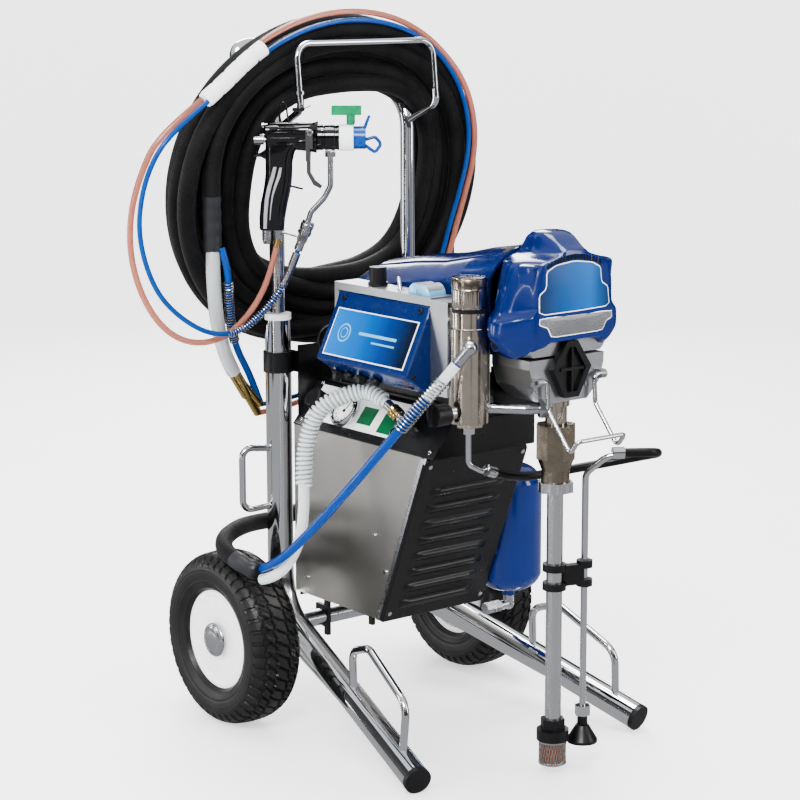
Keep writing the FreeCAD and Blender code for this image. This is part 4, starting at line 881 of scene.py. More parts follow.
def plate_on(bm, tree, pts, place, d, off, thick=0.5, mi=0, rings=(1.0, 0.8, 0.55, 0.3, 0.12)):
    """A thin plate that follows the surface: pts is its outline in the two coordinates that place() turns into a start point."""
    c = tuple(sum(q[i] for q in pts) / len(pts) for i in (0, 1))
    rows = []
    for f in rings:
        rows.append([bm.verts.new(cast(tree, place(c[0] + (q[0] - c[0]) * f, c[1] + (q[1] - c[1]) * f), d, off)) for q in pts])
    n = len(pts)
    for a, b in zip(rows, rows[1:]):
        for k in range(n):
            bm.faces.new((a[k], a[(k + 1) % n], b[(k + 1) % n], b[k])).material_index = mi
    bm.faces.new(rows[-1]).material_index = mi
    low = [bm.verts.new(v.co + Vector(d).normalized() * ((off + thick) / 1000.0)) for v in rows[0]]
    for k in range(n):
        bm.faces.new((low[k], low[(k + 1) % n], rows[0][(k + 1) % n], rows[0][k])).material_index = mi
    bm.faces.new(list(reversed(low))).material_index = mi


def grow(pts, g):
    """Outline pushed out by g along its own corner directions."""
    n, out = len(pts), []
    area_ = sum(pts[i][0] * pts[(i + 1) % n][1] - pts[(i + 1) % n][0] * pts[i][1] for i in range(n))
    sg_ = 1.0 if area_ > 0 else -1.0
    for i in range(n):
        a, b = pts[i - 1], pts[(i + 1) % n]
        t = Vector((b[0] - a[0], b[1] - a[1]))
        if t.length < 1e-9:
            out.append(pts[i])
            continue
        t.normalize()
        out.append((pts[i][0] + t.y * g * sg_, pts[i][1] - t.x * g * sg_))
    return out


# ------------------------------------------------------------------ front cover of the drive
FCA = [(-24, 745), (-32, 716), (-72, 708), (-84, 676), (-92, 642), (-105, 632), (-107, 612), (-92, 594), (-76, 580), (-60, 582), (-48, 601),
       (48, 601), (60, 582), (76, 580), (92, 594), (107, 612), (105, 632), (92, 642), (84, 676), (72, 708), (32, 716), (24, 745)]
FFA = [(-17, 724), (-25, 717), (-60, 708), (-68, 682), (-66, 650), (-76, 639), (-76, 616), (-66, 604), (-58, 598), (-52, 599), (-44, 604),
       (44, 604), (52, 599), (58, 598), (66, 604), (76, 616), (76, 639), (66, 650), (66, 682), (58, 708), (25, 717), (17, 724)]


def cover_loop(y, f, kx=1.0, top=None, shrink=1.0):
    p = [((1 - f) * a[0] + f * b[0], (1 - f) * a[1] + f * b[1]) for a, b in zip(FCA, FFA)]
    p = [(x * kx, min(z, top) if top and abs(x) < 30 else z) for x, z in p]
    p = chaikin(p, 1, 0.16)
    p = chaikin(p, 2, 0.25)
    return [A(MX + x * shrink, y, 660 + (z - 660) * shrink) for x, z in p]


bm = bmesh.new()
loft(bm, [cover_loop(-399, 0, 0.665, 722), cover_loop(-404, 0, 0.72, 728), cover_loop(-412, 0, 0.82, 738), cover_loop(-422, 0, 0.91, 744), cover_loop(-434, 0, 0.975), cover_loop(-446, 0, 1.0),
          cover_loop(-454, 0.08), cover_loop(-462, 0.26), cover_loop(-470, 0.52), cover_loop(-477, 0.76), cover_loop(-482, 0.90), cover_loop(-485.5, 0.975),
          cover_loop(-487.5, 1.0, shrink=0.985), cover_loop(-488.2, 1.0, shrink=0.955), cover_loop(-488.8, 1.0, shrink=0.8), cover_loop(-489.4, 1.0, shrink=0.5),
          cover_loop(-489.7, 1.0, shrink=0.2)], cap0=True, cap1=True)
for s_ in (-1, 1):
    add_box(bm, A(MX + s_ * 66, -470, 690), (0.017, 0.026, 0.034), 0.0065, Matrix.Rotation(math.radians(-24 * s_), 3, "Z") @ Matrix.Rotation(math.radians(6 * s_), 3, "Y"), seg=3)
cover = from_bm("front_cover_skin", bm, "blue_gloss", "cart", 32)
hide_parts("front_cover")
ct = tree_of(cover)
front_at = lambda x, z: A(x, -520, z)
BLUEP = chaikin([(-55, 697), (-40, 704.5), (-8, 708), (24, 704), (38, 697), (40, 680), (42, 676), (52, 670), (55, 645), (0, 643.5), (-67, 643), (-67, 668), (-58, 674), (-55.5, 679)], 1, 0.12)
SILVP = chaikin([(-67, 637), (60, 637), (60, 629), (50, 625), (43, 613), (-46, 612), (-53, 625), (-67, 630)], 1, 0.10)
bm = bmesh.new()
plate_on(bm, ct, grow(BLUEP, 1.3), front_at, (0, 1, 0), 0.35, 1.2, 0)
plate_on(bm, ct, BLUEP, front_at, (0, 1, 0), 0.75, 1.2, 1)
plate_on(bm, ct, grow(SILVP, 1.2), front_at, (0, 1, 0), 0.35, 1.2, 0)
plate_on(bm, ct, SILVP, front_at, (0, 1, 0), 0.75, 1.2, 2)
from_bm("cover_plates", bm, "label_white", "cart", 30, mats=["label_white", "cover_plate", "plate_silver"])
# arc of air slots above the plate, drawn as near-black strips of painted shade on the cover, with thin fins between
# them
bm = bmesh.new()


def arc_z(x):
    return 712.5 - 0.0042 * (x + 8) ** 2


xs_ = [-56 + 98 * k / 48 for k in range(49)]
rows_ = []
for j in range(4):
    rows_.append([bm.verts.new(cast(ct, front_at(x, arc_z(x) - 2.6 + 2.6 * j * (1.0 - 0.25 * abs(x + 7) / 49)), (0, 1, 0), 0.30)) for x in xs_])
for a_, b_ in zip(rows_, rows_[1:]):
    for k in range(48):
        bm.faces.new((a_[k], a_[k + 1], b_[k + 1], b_[k])).material_index = 0
for k in range(17):
    x = -53 + 92 * k / 16
    a_ = cast(ct, front_at(x, arc_z(x) - 3.0), (0, 1, 0), 0.6)
    b_ = cast(ct, front_at(x + 0.9, arc_z(x) + 5.6), (0, 1, 0), 0.9)
    d_ = b_ - a_
    add_rings(bm, a_, d_, [(0, 0.0002), (0.0006, 0.0008), (d_.length - 0.0006, 0.0008), (d_.length, 0.0002)], 8, 1)
from_bm("cover_vents", bm, "painted_shade", "cart", 40, mats=["painted_shade", "blue_gloss"])
# screw recesses in the cover's lower sides
bm = bmesh.new()
for s_ in (-1, 1):
    p_ = cast(ct, A(MX + s_ * 160, -440, 600), (-s_, 0, 0), 0.2)
    turned(bm, p_, (-s_, 0, 0), [(-0.6, 8.2), (-1.0, 7.6), (-0.9, 6.4), (-0.2, 6.0)], 28, 0)
    # the well floor is a near-black disc: painted shade in the recess
    turned(bm, p_ + Vector((s_ * 0.0004, 0, 0)), (-s_, 0, 0), [(-0.6, 5.6), (-0.5, 3.0), (-0.4, 0.1)], 24, 1)
from_bm("cover_screw_wells", bm, "blue_gloss", "cart", 40, mats=["blue_gloss", "painted_shade"])

# shroud: crease that runs along its crown and the notch behind the bump, a near-black plate of painted shade on the
# surface
st = tree_of(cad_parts["motor_shroud"])
down_at = lambda x, y: A(x, y, 800)
bm = bmesh.new()
notch = chaikin([(MX - 40, -395), (MX - 34, -378), (MX + 30, -380), (MX + 36, -395)], 2, 0.2)
plate_on(bm, st, notch, down_at, (0, 0, -1), 0.5, 1.0, 0)
from_bm("painted_shade_notch", bm, "painted_shade", "cart", 40)
for nm_, xa, xb in (("shroud_crease_left", -44, -34), ("shroud_crease_right", 34, 26)):
    ln = []
    for k in range(41):
        y = -390 + 300 * k / 40
        x = MX + xa + (xb - xa) * k / 40
        ln.append(cast(st, down_at(x, y), (0, 0, -1), -0.7))
    cr_ = tube(nm_, ln, 0.0024, "blue_gloss", seg=12, rad=lambda s, L: 0.0006 + 0.0020 * math.sin(math.pi * min(1, max(0, s / L))) ** 0.5)
    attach(cr_, "cart")

# ------------------------------------------------------------------ control box with its face plate
CB = [(-80.5, 641), (-120, 641), (-126, 624), (-162, 549), (-124, 522), (-80.5, 522)]
bm = bmesh.new()
add_prism(bm, [A(x, -330, z) for x, z in CB], (0, 0.202, 0), 0.0042, 0, 3)
cbx = from_bm("control_box_case", bm, "blue_paint", "cart", 30)
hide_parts("control_box")
fd = Vector((-36.0, 0, -75.0)).normalized()
fn_ = Vector((-0.9015, 0, 0.4327))


def face_at(y, t, h):
    """Point on the slanted face: t 0 at its foot to 1 at its top, h millimetres proud."""
    p = Vector((-162 + 36 * t, y, 549 + 75 * t)) + fn_ * h
    return A(p.x, p.y, p.z)


def face_plate(bm, pts, h, th, mi, bev=0.0):
    add_prism(bm, [face_at(y, t, h) for y, t in pts], fn_ * (th / 1000.0), bev, mi)


bm = bmesh.new()
rp = lambda y0, y1, t0, t1, q=0.02: chaikin([(y0, t0), (y1, t0), (y1, t1), (y0, t1)], 2, q)
face_plate(bm, [(-319, 0.10), (-140, 0.10), (-140, 0.93), (-319, 0.93)], 0.0, 0.7, 0)
face_plate(bm, [(-317, 0.12), (-142, 0.12), (-142, 0.91), (-317, 0.91)], 0.3, 0.8, 1)
# a plain dial ring and pilot lines stand where the real plate is printed
for r0, r1 in ((13.5, 11.3), (7.5, 6.2)):
    c_ = face_at(-172, 0.52, 1.15)
    u_, v_ = Vector((0, 1, 0)), -fd
    n_ = 40
    ra = [bm.verts.new(c_ + (u_ * math.cos(2 * math.pi * k / n_) + v_ * math.sin(2 * math.pi * k / n_)) * (r0 / 1000)) for k in range(n_)]
    rb = [bm.verts.new(c_ + (u_ * math.cos(2 * math.pi * k / n_) + v_ * math.sin(2 * math.pi * k / n_)) * (r1 / 1000) + fn_ * 0.0002) for k in range(n_)]
    for k in range(n_):
        bm.faces.new((ra[k], ra[(k + 1) % n_], rb[(k + 1) % n_], rb[k])).material_index = 2
face_plate(bm, [(-286, 0.53), (-204, 0.53), (-204, 0.58), (-286, 0.58)], 0.9, 0.4, 2)
face_plate(bm, [(-286, 0.42), (-236, 0.42), (-236, 0.45), (-286, 0.45)], 0.9, 0.4, 2)
from_bm("control_face_plate", bm, "label_white", "cart", 30, mats=["label_white", "face_blue", "lens_blue"])
bm = bmesh.new()
bn = Vector((-17, 0, 6)).normalized()
for y in (-314, -146):
    p_ = A(-123.4, y, 632.5)
    turned(bm, p_, bn, [(0, 4.4), (1.2, 4.2), (1.9, 3.2), (1.9, 1.6), (0.9, 1.4), (0.9, 0.1)], 24, 0)
for y, z in ((-309, 541), (-150, 541)):
    p_ = A(-135, y, 530)
    turned(bm, p_, Vector((-27, 0, -38)).normalized(), [(0, 3.6), (1.2, 3.4), (1.6, 2.4), (1.0, 1.2), (0.6, 0.1)], 20, 0)
for x, z in ((-148, 548), (-92, 533)):
    turned(bm, A(x, -330, z), (0, -1, 0), [(0, 3.6), (1.0, 3.4), (1.5, 2.4), (0.9, 1.2), (0.5, 0.1)], 20, 0)
# cable glands and plugs below the face
for y, r_, l_ in ((-150, 8, 15), (-176, 6.5, 11), (-204, 8, 13), (-236, 7, 10)):
    p_ = A(-138, y, 532)
    turned(bm, p_, Vector((-0.25, 0, -1)).normalized(), [(0, r_), (2, r_ + 1.4), (5, r_ + 1.4), (5.6, r_ - 0.6), (l_ - 2, r_ - 1.0), (l_, r_ - 2.4)], 6 if r_ > 7.5 else 18, 0)
from_bm("control_box_fasteners", bm, "black_plastic", "cart", 35)
# lead that leaves the left end of the control box and turns back into the electronics box
lp = nurbs_line([A(-118, -128, 552), A(-121, -118, 551), A(-131, -104, 553), A(-137, -101, 567), A(-132, -103, 583), A(-119, -107, 588), A(-106, -113, 584), A(-101, -119, 582)], 12)
lead = tube("control_lead", lp, 0.0026, "rubber_black", seg=12)
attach(lead, "cart")
# two half-round tinted covers, and the joint lines of the cast box
bm = bmesh.new()
for y in (-304, -288):
    pts_ = [(y + 15.4 * math.cos(math.pi * k / 20), 651.2 + 15.4 * math.sin(math.pi * k / 20)) for k in range(21)]
    add_prism(bm, [A(-112.5, q[0], q[1]) for q in pts_], (0.029, 0, 0), 0.0014, 0)
from_bm("lens_covers", bm, "lens_blue", "cart", 35)
bm = bmesh.new()
# joint lines: thin near-black strips on the surface, painted shade in the seams
for z in (606, 575, 548):
    add_box(bm, A(-99.5, -366.1, z), (0.0405, 0.0009, 0.0011), 0.0003, mi=0)
for z in (628,):
    add_box(bm, A(-99.5, -366.6, z), (0.041, 0.0022, 0.006), 0.0009, mi=1)
    add_box(bm, A(-99.5, -366.6, 536), (0.041, 0.0022, 0.006), 0.0009, mi=1)
for z in (528, 640):
    for x in (-112, -87):
        turned(bm, A(x, -365.9, z), (0, -1, 0), [(0, 3.0), (1.4, 3.0), (2.0, 2.3), (2.0, 1.0), (1.2, 0.8), (1.2, 0.1)], 18, 1)
from_bm("electronics_trim", bm, "painted_shade", "cart", 35, mats=["painted_shade", "zinc_plate"])

# ------------------------------------------------------------------ filter housing: knurled cap and rings
fx_, fy_ = -105.0, -392.0
bm = bmesh.new()
n_, rows_ = 144, []
for z, r0, amp in ((645.6, 21.6, 0), (646.4, 22.4, 0.0), (648, 22.9, 0.45), (669, 22.9, 0.45), (670.6, 22.4, 0.0), (671.4, 21.9, 0)):
    rows_.append([A(fx_ + (r0 - amp * (0.5 + 0.5 * math.cos(36 * 2 * math.pi * k / n_))) * math.cos(2 * math.pi * k / n_),
                    fy_ + (r0 - amp * (0.5 + 0.5 * math.cos(36 * 2 * math.pi * k / n_))) * math.sin(2 * math.pi * k / n_), z) for k in range(n_)])
loft(bm, rows_)
turned(bm, A(fx_, fy_, 672.2), (0, 0, 1), [(0, 22.2), (1.0, 23.5), (11.6, 23.5), (13.4, 22.4), (13.9, 20.5), (13.4, 18.5), (12.6, 18.0), (12.6, 0.1)], 64, 1)
# near-black ring under the knurled cap: painted shade in the gap
turned(bm, A(fx_, fy_, 640.3), (0, 0, 1), [(0, 21.4), (0.4, 22.3), (4.4, 22.3), (4.8, 21.4)], 64, 2)
turned(bm, A(fx_, fy_, 618.1), (0, 0, 1), [(0, 24.2), (0.2, 25.6), (0.9, 26.2), (1.5, 25.6), (1.7, 24.2)], 64, 3)
turned(bm, A(fx_, fy_, 636.0), (0, 0, 1), [(0, 24.2), (0.3, 24.8), (3.6, 24.8), (4.2, 23.6)], 64, 3)
turned(bm, A(fx_, fy_, 500.0), (0, 0, 1), [(0, 26.3), (0.3, 26.9), (1.4, 26.9), (1.7, 26.3)], 64, 3)
from_bm("filter_cap", bm, "nickel_warm", "cart", 35, mats=["nickel_warm", "bronze_dark", "painted_shade", "nickel_warm"])

# ------------------------------------------------------------------ black front panel with pressed louvres
fx0, fx1 = -117.0, 70.0
NU, NV = 110, 230
P0, P1 = Vector((0, -212.6, 178)), Vector((0, -313.4, 430))
sl_ = (P1 - P0)
L_ = sl_.length
sl_.normalize()
nrm = Vector((0, -0.9285, -0.3714))


def louvre(a, b):
    """Height in millimetres at a across and b up the panel."""
    h = 0.0
    for k in range(8):
        c = L_ * (0.10 + k * 0.098)
        e0, e1 = 26.0, 187.0 - 32.0
        d = min(a - e0, e1 - a)
        if d <= -2:
            continue
        w_ = max(0.0, min(1.0, (d + 2) / 16.0)) ** 0.6
        t = (b - c + 7.0) / 15.0
        if 0 < t < 1:
            h = max(h, 5.2 * w_ * (math.sin(math.pi * min(1.0, t / 0.72) * 0.5) if t < 0.72 else math.cos(math.pi * 0.5 * (t - 0.72) / 0.28)) ** 0.8)
    return h


bm = bmesh.new()
grid = []
for j in range(NV + 1):
    b = L_ * j / NV
    row = []
    for i in range(NU + 1):
        a = 187.0 * i / NU
        # rounded corners: the row is drawn in near the top and foot
        rc = 0.0
        for q, rad_ in ((b, 5.0), (L_ - b, 12.0)):
            if q < rad_:
                rc = max(rc, rad_ - math.sqrt(max(0.0, rad_ * rad_ - (rad_ - q) ** 2)))
        aa = rc + (187.0 - 2 * rc) * i / NU
        edge = min(aa - rc, 187.0 - rc - aa, b, L_ - b)
        lip = -1.6 * (1 - min(1.0, edge / 2.2)) ** 2
        h = 5.0 + lip + louvre(aa, b)
        p = P0 + sl_ * b + nrm * h
        row.append(bm.verts.new(A(fx0 + aa, p.y, p.z)))
    grid.append(row)
for j in range(NV):
    for i in range(NU):
        bm.faces.new((grid[j][i], grid[j][i + 1], grid[j + 1][i + 1], grid[j + 1][i]))
ring_ = grid[0][:] + [grid[j][NU] for j in range(1, NV + 1)] + grid[NV][NU - 1::-1] + [grid[j][0] for j in range(NV - 1, 0, -1)]
low_ = [bm.verts.new(v.co - nrm * 0.0034) for v in ring_]
m_ = len(ring_)
for k in range(m_):
    bm.faces.new((ring_[k], ring_[(k + 1) % m_], low_[(k + 1) % m_], low_[k]))
bm.faces.new(low_)
fp = from_bm("louvred_panel", bm, "black_powder", "cart", 50)
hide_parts("housing_front")
# folded edge of the stainless side, just left of the black panel
bm = bmesh.new()
add_prism(bm, [A(-116.4, P0.y - 4.0, P0.z + 1), A(-116.4, P1.y - 4.0, P1.z), A(-116.4, P1.y + 7, P1.z), A(-116.4, P0.y + 7, P0.z + 1)], (0.0016, 0, 0), 0.0004)
add_prism(bm, [A(-116.9, P0.y + 6, P0.z + 1), A(-116.9, P1.y + 6, P1.z), A(-116.9, P1.y + 8.4, P1.z), A(-116.9, P0.y + 8.4, P0.z + 1)], (0.0012, 0, 0), 0.0005)
from_bm("side_fold", bm, "plate_silver", "cart", 40)

# ------------------------------------------------------------------ sloped panel: printed strip, knob, gauge, button
sn = Vector((nx, 0, nz))


def SP(y, t, h):
    p = on_slope(y, t, h)
    return A(p.x, p.y, p.z)


def slope_plate(bm, y0, y1, t0, t1, h, th, mi, bev=0.0):
    add_prism(bm, [SP(y0, t0, h), SP(y1, t0, h), SP(y1, t1, h), SP(y0, t1, h)], sn * (th / 1000.0), bev, mi)


bm = bmesh.new()
slope_plate(bm, -236, -26, 0.16, 0.90, 0.0, 0.5, 0)
slope_plate(bm, -172, -140, 0.30, 0.66, 0.2, 0.6, 1)
slope_plate(bm, -222, -190, 0.22, 0.62, 0.2, 0.6, 1)
slope_plate(bm, -98, -76, 0.80, 0.84, 0.2, 0.6, 2)
slope_plate(bm, -168, -122, 0.78, 0.81, 0.2, 0.6, 2)
from_bm("panel_strip", bm, "label_white", "cart", 35, mats=["label_white", "label_green", "black_plastic"])
bm = bmesh.new()
kc = SP(-58, 0.45, 0)
n_, rows_ = 120, []
uu, vv, _ = basis(sn)
for h, r0, amp in ((9.6, 15.4, 0.0), (10.5, 16.2, 0.6), (12, 16.6, 1.3), (27, 15.6, 1.3), (29.5, 14.6, 0.7), (30.6, 12.8, 0.0), (30.2, 8.0, 0.0), (29.6, 2.0, 0.0)):
    rows_.append([kc + sn * (h / 1000.0) + (uu * math.cos(2 * math.pi * k / n_) + vv * math.sin(2 * math.pi * k / n_)) * ((r0 - amp * (0.5 + 0.5 * math.cos(20 * 2 * math.pi * k / n_))) / 1000.0) for k in range(n_)])
loft(bm, rows_)
turned(bm, kc, sn, [(1.2, 19.4), (2.0, 20.6), (5.2, 20.6), (6.2, 19.4), (6.6, 17.0), (9.4, 16.6), (9.6, 14.0)], 56, 1)
kn_ = from_bm("regulator_knob_cap", bm, "black_plastic", "air_regulator", 35, mats=["black_plastic", "chrome"])
bm = bmesh.new()
gc = SP(-108, 0.45, 0)
turned(bm, gc, sn, [(0.4, 23.6), (1.2, 24.3), (6.0, 24.2), (8.2, 23.0), (8.8, 21.2), (7.2, 19.6), (5.2, 19.2)], 64, 0)
turned(bm, gc, sn, [(4.9, 19.4), (5.3, 19.3), (5.5, 10), (5.6, 0.1)], 64, 1)
for k in range(11):
    a_ = math.radians(-135 + 27 * k)
    d_ = uu * math.cos(a_) + vv * math.sin(a_)
    p_ = gc + sn * 0.0057 + d_ * 0.0145
    add_box(bm, p_, (0.0036, 0.0009, 0.0005), 0.0001, Matrix((d_, sn.cross(d_), sn)).transposed(), 2)
d_ = (uu * math.cos(-1.9) + vv * math.sin(-1.9))
add_box(bm, gc + sn * 0.0062 + d_ * 0.006, (0.015, 0.0012, 0.0006), 0.0002, Matrix((d_, sn.cross(d_), sn)).transposed(), 2)
turned(bm, gc, sn, [(5.6, 2.4), (6.9, 2.2), (7.1, 0.1)], 20, 2)
from_bm("gauge_dial", bm, "chrome", "cart", 35, mats=["chrome", "label_white", "black_plastic"])
bm = bmesh.new()
bc = SP(-232, 0.30, 0)
turned(bm, bc, sn, [(0, 11.4), (2.4, 11.4), (3.6, 10.4), (3.4, 8.8), (2.0, 8.4)], 40, 0)
turned(bm, bc, sn, [(0.5, 8.4), (4.6, 8.2), (6.0, 6.8), (6.4, 3.0), (6.4, 0.1)], 40, 1)
from_bm("panel_button", bm, "chrome", "cart", 35, mats=["chrome", "black_gloss"])
bm = bmesh.new()
for y, t in ((-22, 0.92), (-22, 0.10), (-318, 0.92), (-318, 0.10)):
    turned(bm, SP(y, t, 0), sn, [(0, 3.6), (1.2, 3.4), (1.9, 2.4), (1.2, 1.2), (0.8, 0.1)], 20, 0)
from_bm("panel_screws", bm, "zinc_plate", "cart", 35)
# yellow-brass ferrule at the start of the wound hose
bm = bmesh.new()
BE0 = A(be.x, be.y, be.z)
bd_ = (Vector((be.x, be.y, be.z)) - Vector((b1.x, b1.y, b1.z))).normalized()
turned(bm, A(b1.x, b1.y, b1.z), bd_, [(10, 8.0), (11, 9.6), (14, 10.2), (17, 9.2), (18, 10.2), (21, 10.2), (22, 9.2), (25, 10.2), (27, 9.4), (28, 8.2)], 36, 0)
from_bm("outlet_ferrule", bm, "brass_fit", "cart", 40)

# ------------------------------------------------------------------ spray gun body
GD = Vector((0.7833, -0.6216, 0.0))
GN = Vector((0.6216, 0.7833, 0.0))
GR = Matrix((GD, GN, Vector((0, 0, 1)))).transposed()
bm = bmesh.new()
turned(bm, G(-52, 858), GD, [(0, 5), (1.0, 8.4), (3, 10.4), (18, 10.8), (19, 10.2), (22, 10.2), (23, 10.8), (60, 10.8), (66, 11.4), (72, 13.0), (76, 14.0)], 40, 0)
turned(bm, G(-50, 842), GD, [(0, 6), (1.0, 8.6), (3, 9.6), (40, 10.2), (52, 11.4), (64, 13.0), (72, 14.5)], 40, 0)
add_box(bm, G(-15, 849), (0.068, 0.021, 0.026), 0.004, GR, 0, 3)
add_box(bm, G(-16, 867.2), (0.060, 0.012, 0.006), 0.0025, GR, 0, 3)
turned(bm, G(21, 849), GD, [(0, 12.0), (1.2, 15.4), (3, 17.2), (9, 17.6), (10.0, 16.6), (12.2, 16.6), (13.2, 17.7), (26, 17.7), (27, 16.8), (29.4, 16.8), (30.2, 17.6), (32.2, 17.6), (33.0, 16.4)], 56, 0)
# side ridges and the pins between body and head
for z, s0, s1, y in ((863.5, -34, 14, -9.4), (856.5, -40, -8, -10.9), (848.5, -44, -2, -10.6), (840, -40, 2, -9.6)):
    add_box(bm, G((s0 + s1) / 2, z, y), ((s1 - s0) / 1000.0, 0.0026, 0.0022), 0.0009, GR, 0)
    add_box(bm, G((s0 + s1) / 2, z, -y), ((s1 - s0) / 1000.0, 0.0026, 0.0022), 0.0009, GR, 0)
for k in range(5):
    add_box(bm, G(26 + 0.2 * k, 849 + 0, 0) + GD * 0.0 + Vector((0, 0, 0.0172 * math.cos(math.radians(72 * k + 20)))) + GN * (0.0172 * math.sin(math.radians(72 * k + 20))), (0.010, 0.003, 0.003), 0.0010, GR, 0)
# grip: rounded sections, finger swell and rear tang
SEC = [(719, -59, -26, 9.5), (722, -60, -25, 11.3), (736, -60, -23.5, 12.0), (757, -58, -19.5, 12.4), (772, -54.5, -16, 12.6), (786, -52, -13.6, 12.4), (800, -50.5, -12.6, 12.2), (815, -50.5, -12.2, 12.0), (829, -51, -9, 11.6), (838, -50, -3, 11.0), (846, -49, 2, 10.4)]
loops = []
for z in [719 + 127 * k / 43 for k in range(44)]:
    q = [float(np.interp(z, [s[0] for s in SEC], [s[i] for s in SEC])) for i in (1, 2, 3)]
    cs_, hs_ = (q[0] + q[1]) / 2, (q[1] - q[0]) / 2
    lp_ = []
    for k in range(40):
        a_ = 2 * math.pi * k / 40
        c_, s_ = math.cos(a_), math.sin(a_)
        e_ = 2.0 / 3.2
        lp_.append(G(cs_ + hs_ * math.copysign(abs(c_) ** e_, c_), z, q[2] * math.copysign(abs(s_) ** e_, s_)))
    loops.append(lp_)
loft(bm, loops)
for a_, b_ in (((-50, 828), (-67.5, 823.2)),):
    add_prism(bm, [G(-48, 834, -7), G(-58, 827.5, -6), G(-68.5, 824.5, -3.4), G(-68.5, 821.8, -3.4), G(-57, 822.5, -6), G(-48, 818, -7)], GN * 0.014 - GN * 0.0, 0.0016, 0, 3)
# trigger stop rod and finger peg under the body
ln = nurbs_line([G(-16, 781), G(-8, 779.6), G(-2, 777.6), G(2.2, 777.2)], 8)
gun = from_bm("gun_shell", bm, "black_gloss", "handle", 34)
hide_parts("gun_body")
rodp = tube("gun_finger_rod", ln, 0.0015, "black_gloss", seg=12)
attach(rodp, "handle")
# grey inlays in the grip, both sides
bm = bmesh.new()
for sd_ in (-1, 1):
    for rt_ in ([(-36.5, 809, 4.6), (-40, 795, 5.4), (-45, 780, 5.6), (-48.5, 764, 5.4), (-50.5, 744, 5.0), (-51.5, 722, 4.6)],
                [(-28.5, 808, 3.6), (-31, 796, 4.6), (-36, 783, 3.8), (-40.5, 768, 2.4), (-43, 752, 1.6), (-44.5, 734, 1.0)]):
        zs = [rt_[0][1] + (rt_[-1][1] - rt_[0][1]) * k / 24 for k in range(25)]
        zz = [r[1] for r in rt_][::-1]
        L0, L1 = [], []
        for z in zs:
            s_ = float(np.interp(z, zz, [r[0] for r in rt_][::-1]))
            w_ = float(np.interp(z, zz, [r[2] for r in rt_][::-1]))
            hd_ = float(np.interp(z, [q[0] for q in SEC], [q[3] for q in SEC]))
            L0.append((s_ - w_ / 2, z, hd_))
            L1.append((s_ + w_ / 2, z, hd_))
        va = [bm.verts.new(G(s, z, sd_ * (h + 0.15))) for s, z, h in L0]
        vm_ = [bm.verts.new(G((a[0] + b[0]) / 2, a[1], sd_ * (a[2] + 0.45))) for a, b in zip(L0, L1)]
        vb = [bm.verts.new(G(s, z, sd_ * (h + 0.15))) for s, z, h in L1]
        ua = [bm.verts.new(G(s, z, sd_ * (h - 1.2))) for s, z, h in L0]
        ub = [bm.verts.new(G(s, z, sd_ * (h - 1.2))) for s, z, h in L1]
        for k in range(24):
            for p, q in ((va, vm_), (vm_, vb), (ua, va), (vb, ub)):
                bm.faces.new((p[k], p[k + 1], q[k + 1], q[k]))
from_bm("grip_inlays", bm, "grip_grey", "handle", 50)
# bright hardware on the gun
bm = bmesh.new()
turned(bm, G(-56, 867), GD, [(0, 1.0), (0.4, 3.6), (1.2, 4.2), (4.2, 4.2), (4.8, 3.2), (9, 3.0)], 24, 0)
turned(bm, G(-58, 852.5), GD, [(0, 0.5), (0.5, 2.6), (2.0, 3.1), (10, 3.1)], 24, 0)
for sd_ in (-1, 1):
    turned(bm, G(13, 857, sd_ * 17.2), GN * sd_, [(0, 4.8), (1.2, 4.8), (1.9, 4.0), (1.9, 1.8), (1.1, 1.4), (1.1, 0.1)], 28, 0)
    turned(bm, G(30, 861, sd_ * 13.4), (GN * sd_ + Vector((0, 0, 0.6))), [(0, 2.2), (1.0, 2.1), (1.4, 1.4), (1.4, 0.1)], 18, 0)
turned(bm, G(-50, 718), (0, 0, -1), [(0, 5.0), (14, 5.0), (15, 6.2), (18, 6.2), (19, 5.0)], 6, 0)
from_bm("gun_hardware", bm, "steel_machined", "handle", 35)
# trigger front strip and the coupling collar on the fluid tube
bm = bmesh.new()
turned(bm, G(41, 834), (0, 0, -1), [(0, 6.0), (1.5, 7.2), (5.5, 7.2), (6.2, 5.6), (9, 5.0)], 6, 0)
turned(bm, G(6.2, 722), (G(2.5, 712) - G(10, 731)), [(-6, 9.1), (-5, 9.8), (-1, 9.8), (0, 9.1), (4, 9.1), (4.6, 9.8), (9, 9.8), (10, 9.0)], 40, 0)
from_bm("gun_tube_collars", bm, "steel_machined", "handle", 35)
# wire hanger and the two ties that hold the gun on the hook
hl = nurbs_line([G(-30, 870, 2), G(-29.5, 880, 2), G(-28, 897, 2), G(-23, 899, 2), G(-20, 892, 2), G(-19, 880, 2), G(-17.5, 870, 2)], 12)
bm = bmesh.new()
turned(bm, G(-5, 886), (0, 0, 1), [(0, 5.6), (0.4, 6.9), (4.2, 6.9), (4.6, 5.6)], 28, 0)
add_box(bm, G(2.5, 889, -3), (0.006, 0.005, 0.006), 0.0012, GR, 0)
add_box(bm, G(9, 891.5, -3), (0.012, 0.003, 0.0012), 0.0004, GR @ Matrix.Rotation(math.radians(-24), 3, "Y"), 0)
from_bm("hook_tie", bm, "black_plastic", "handle", 35)
hg = tube("gun_hanger", hl, 0.0013, "black_gloss", seg=10)
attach(hg, "handle")
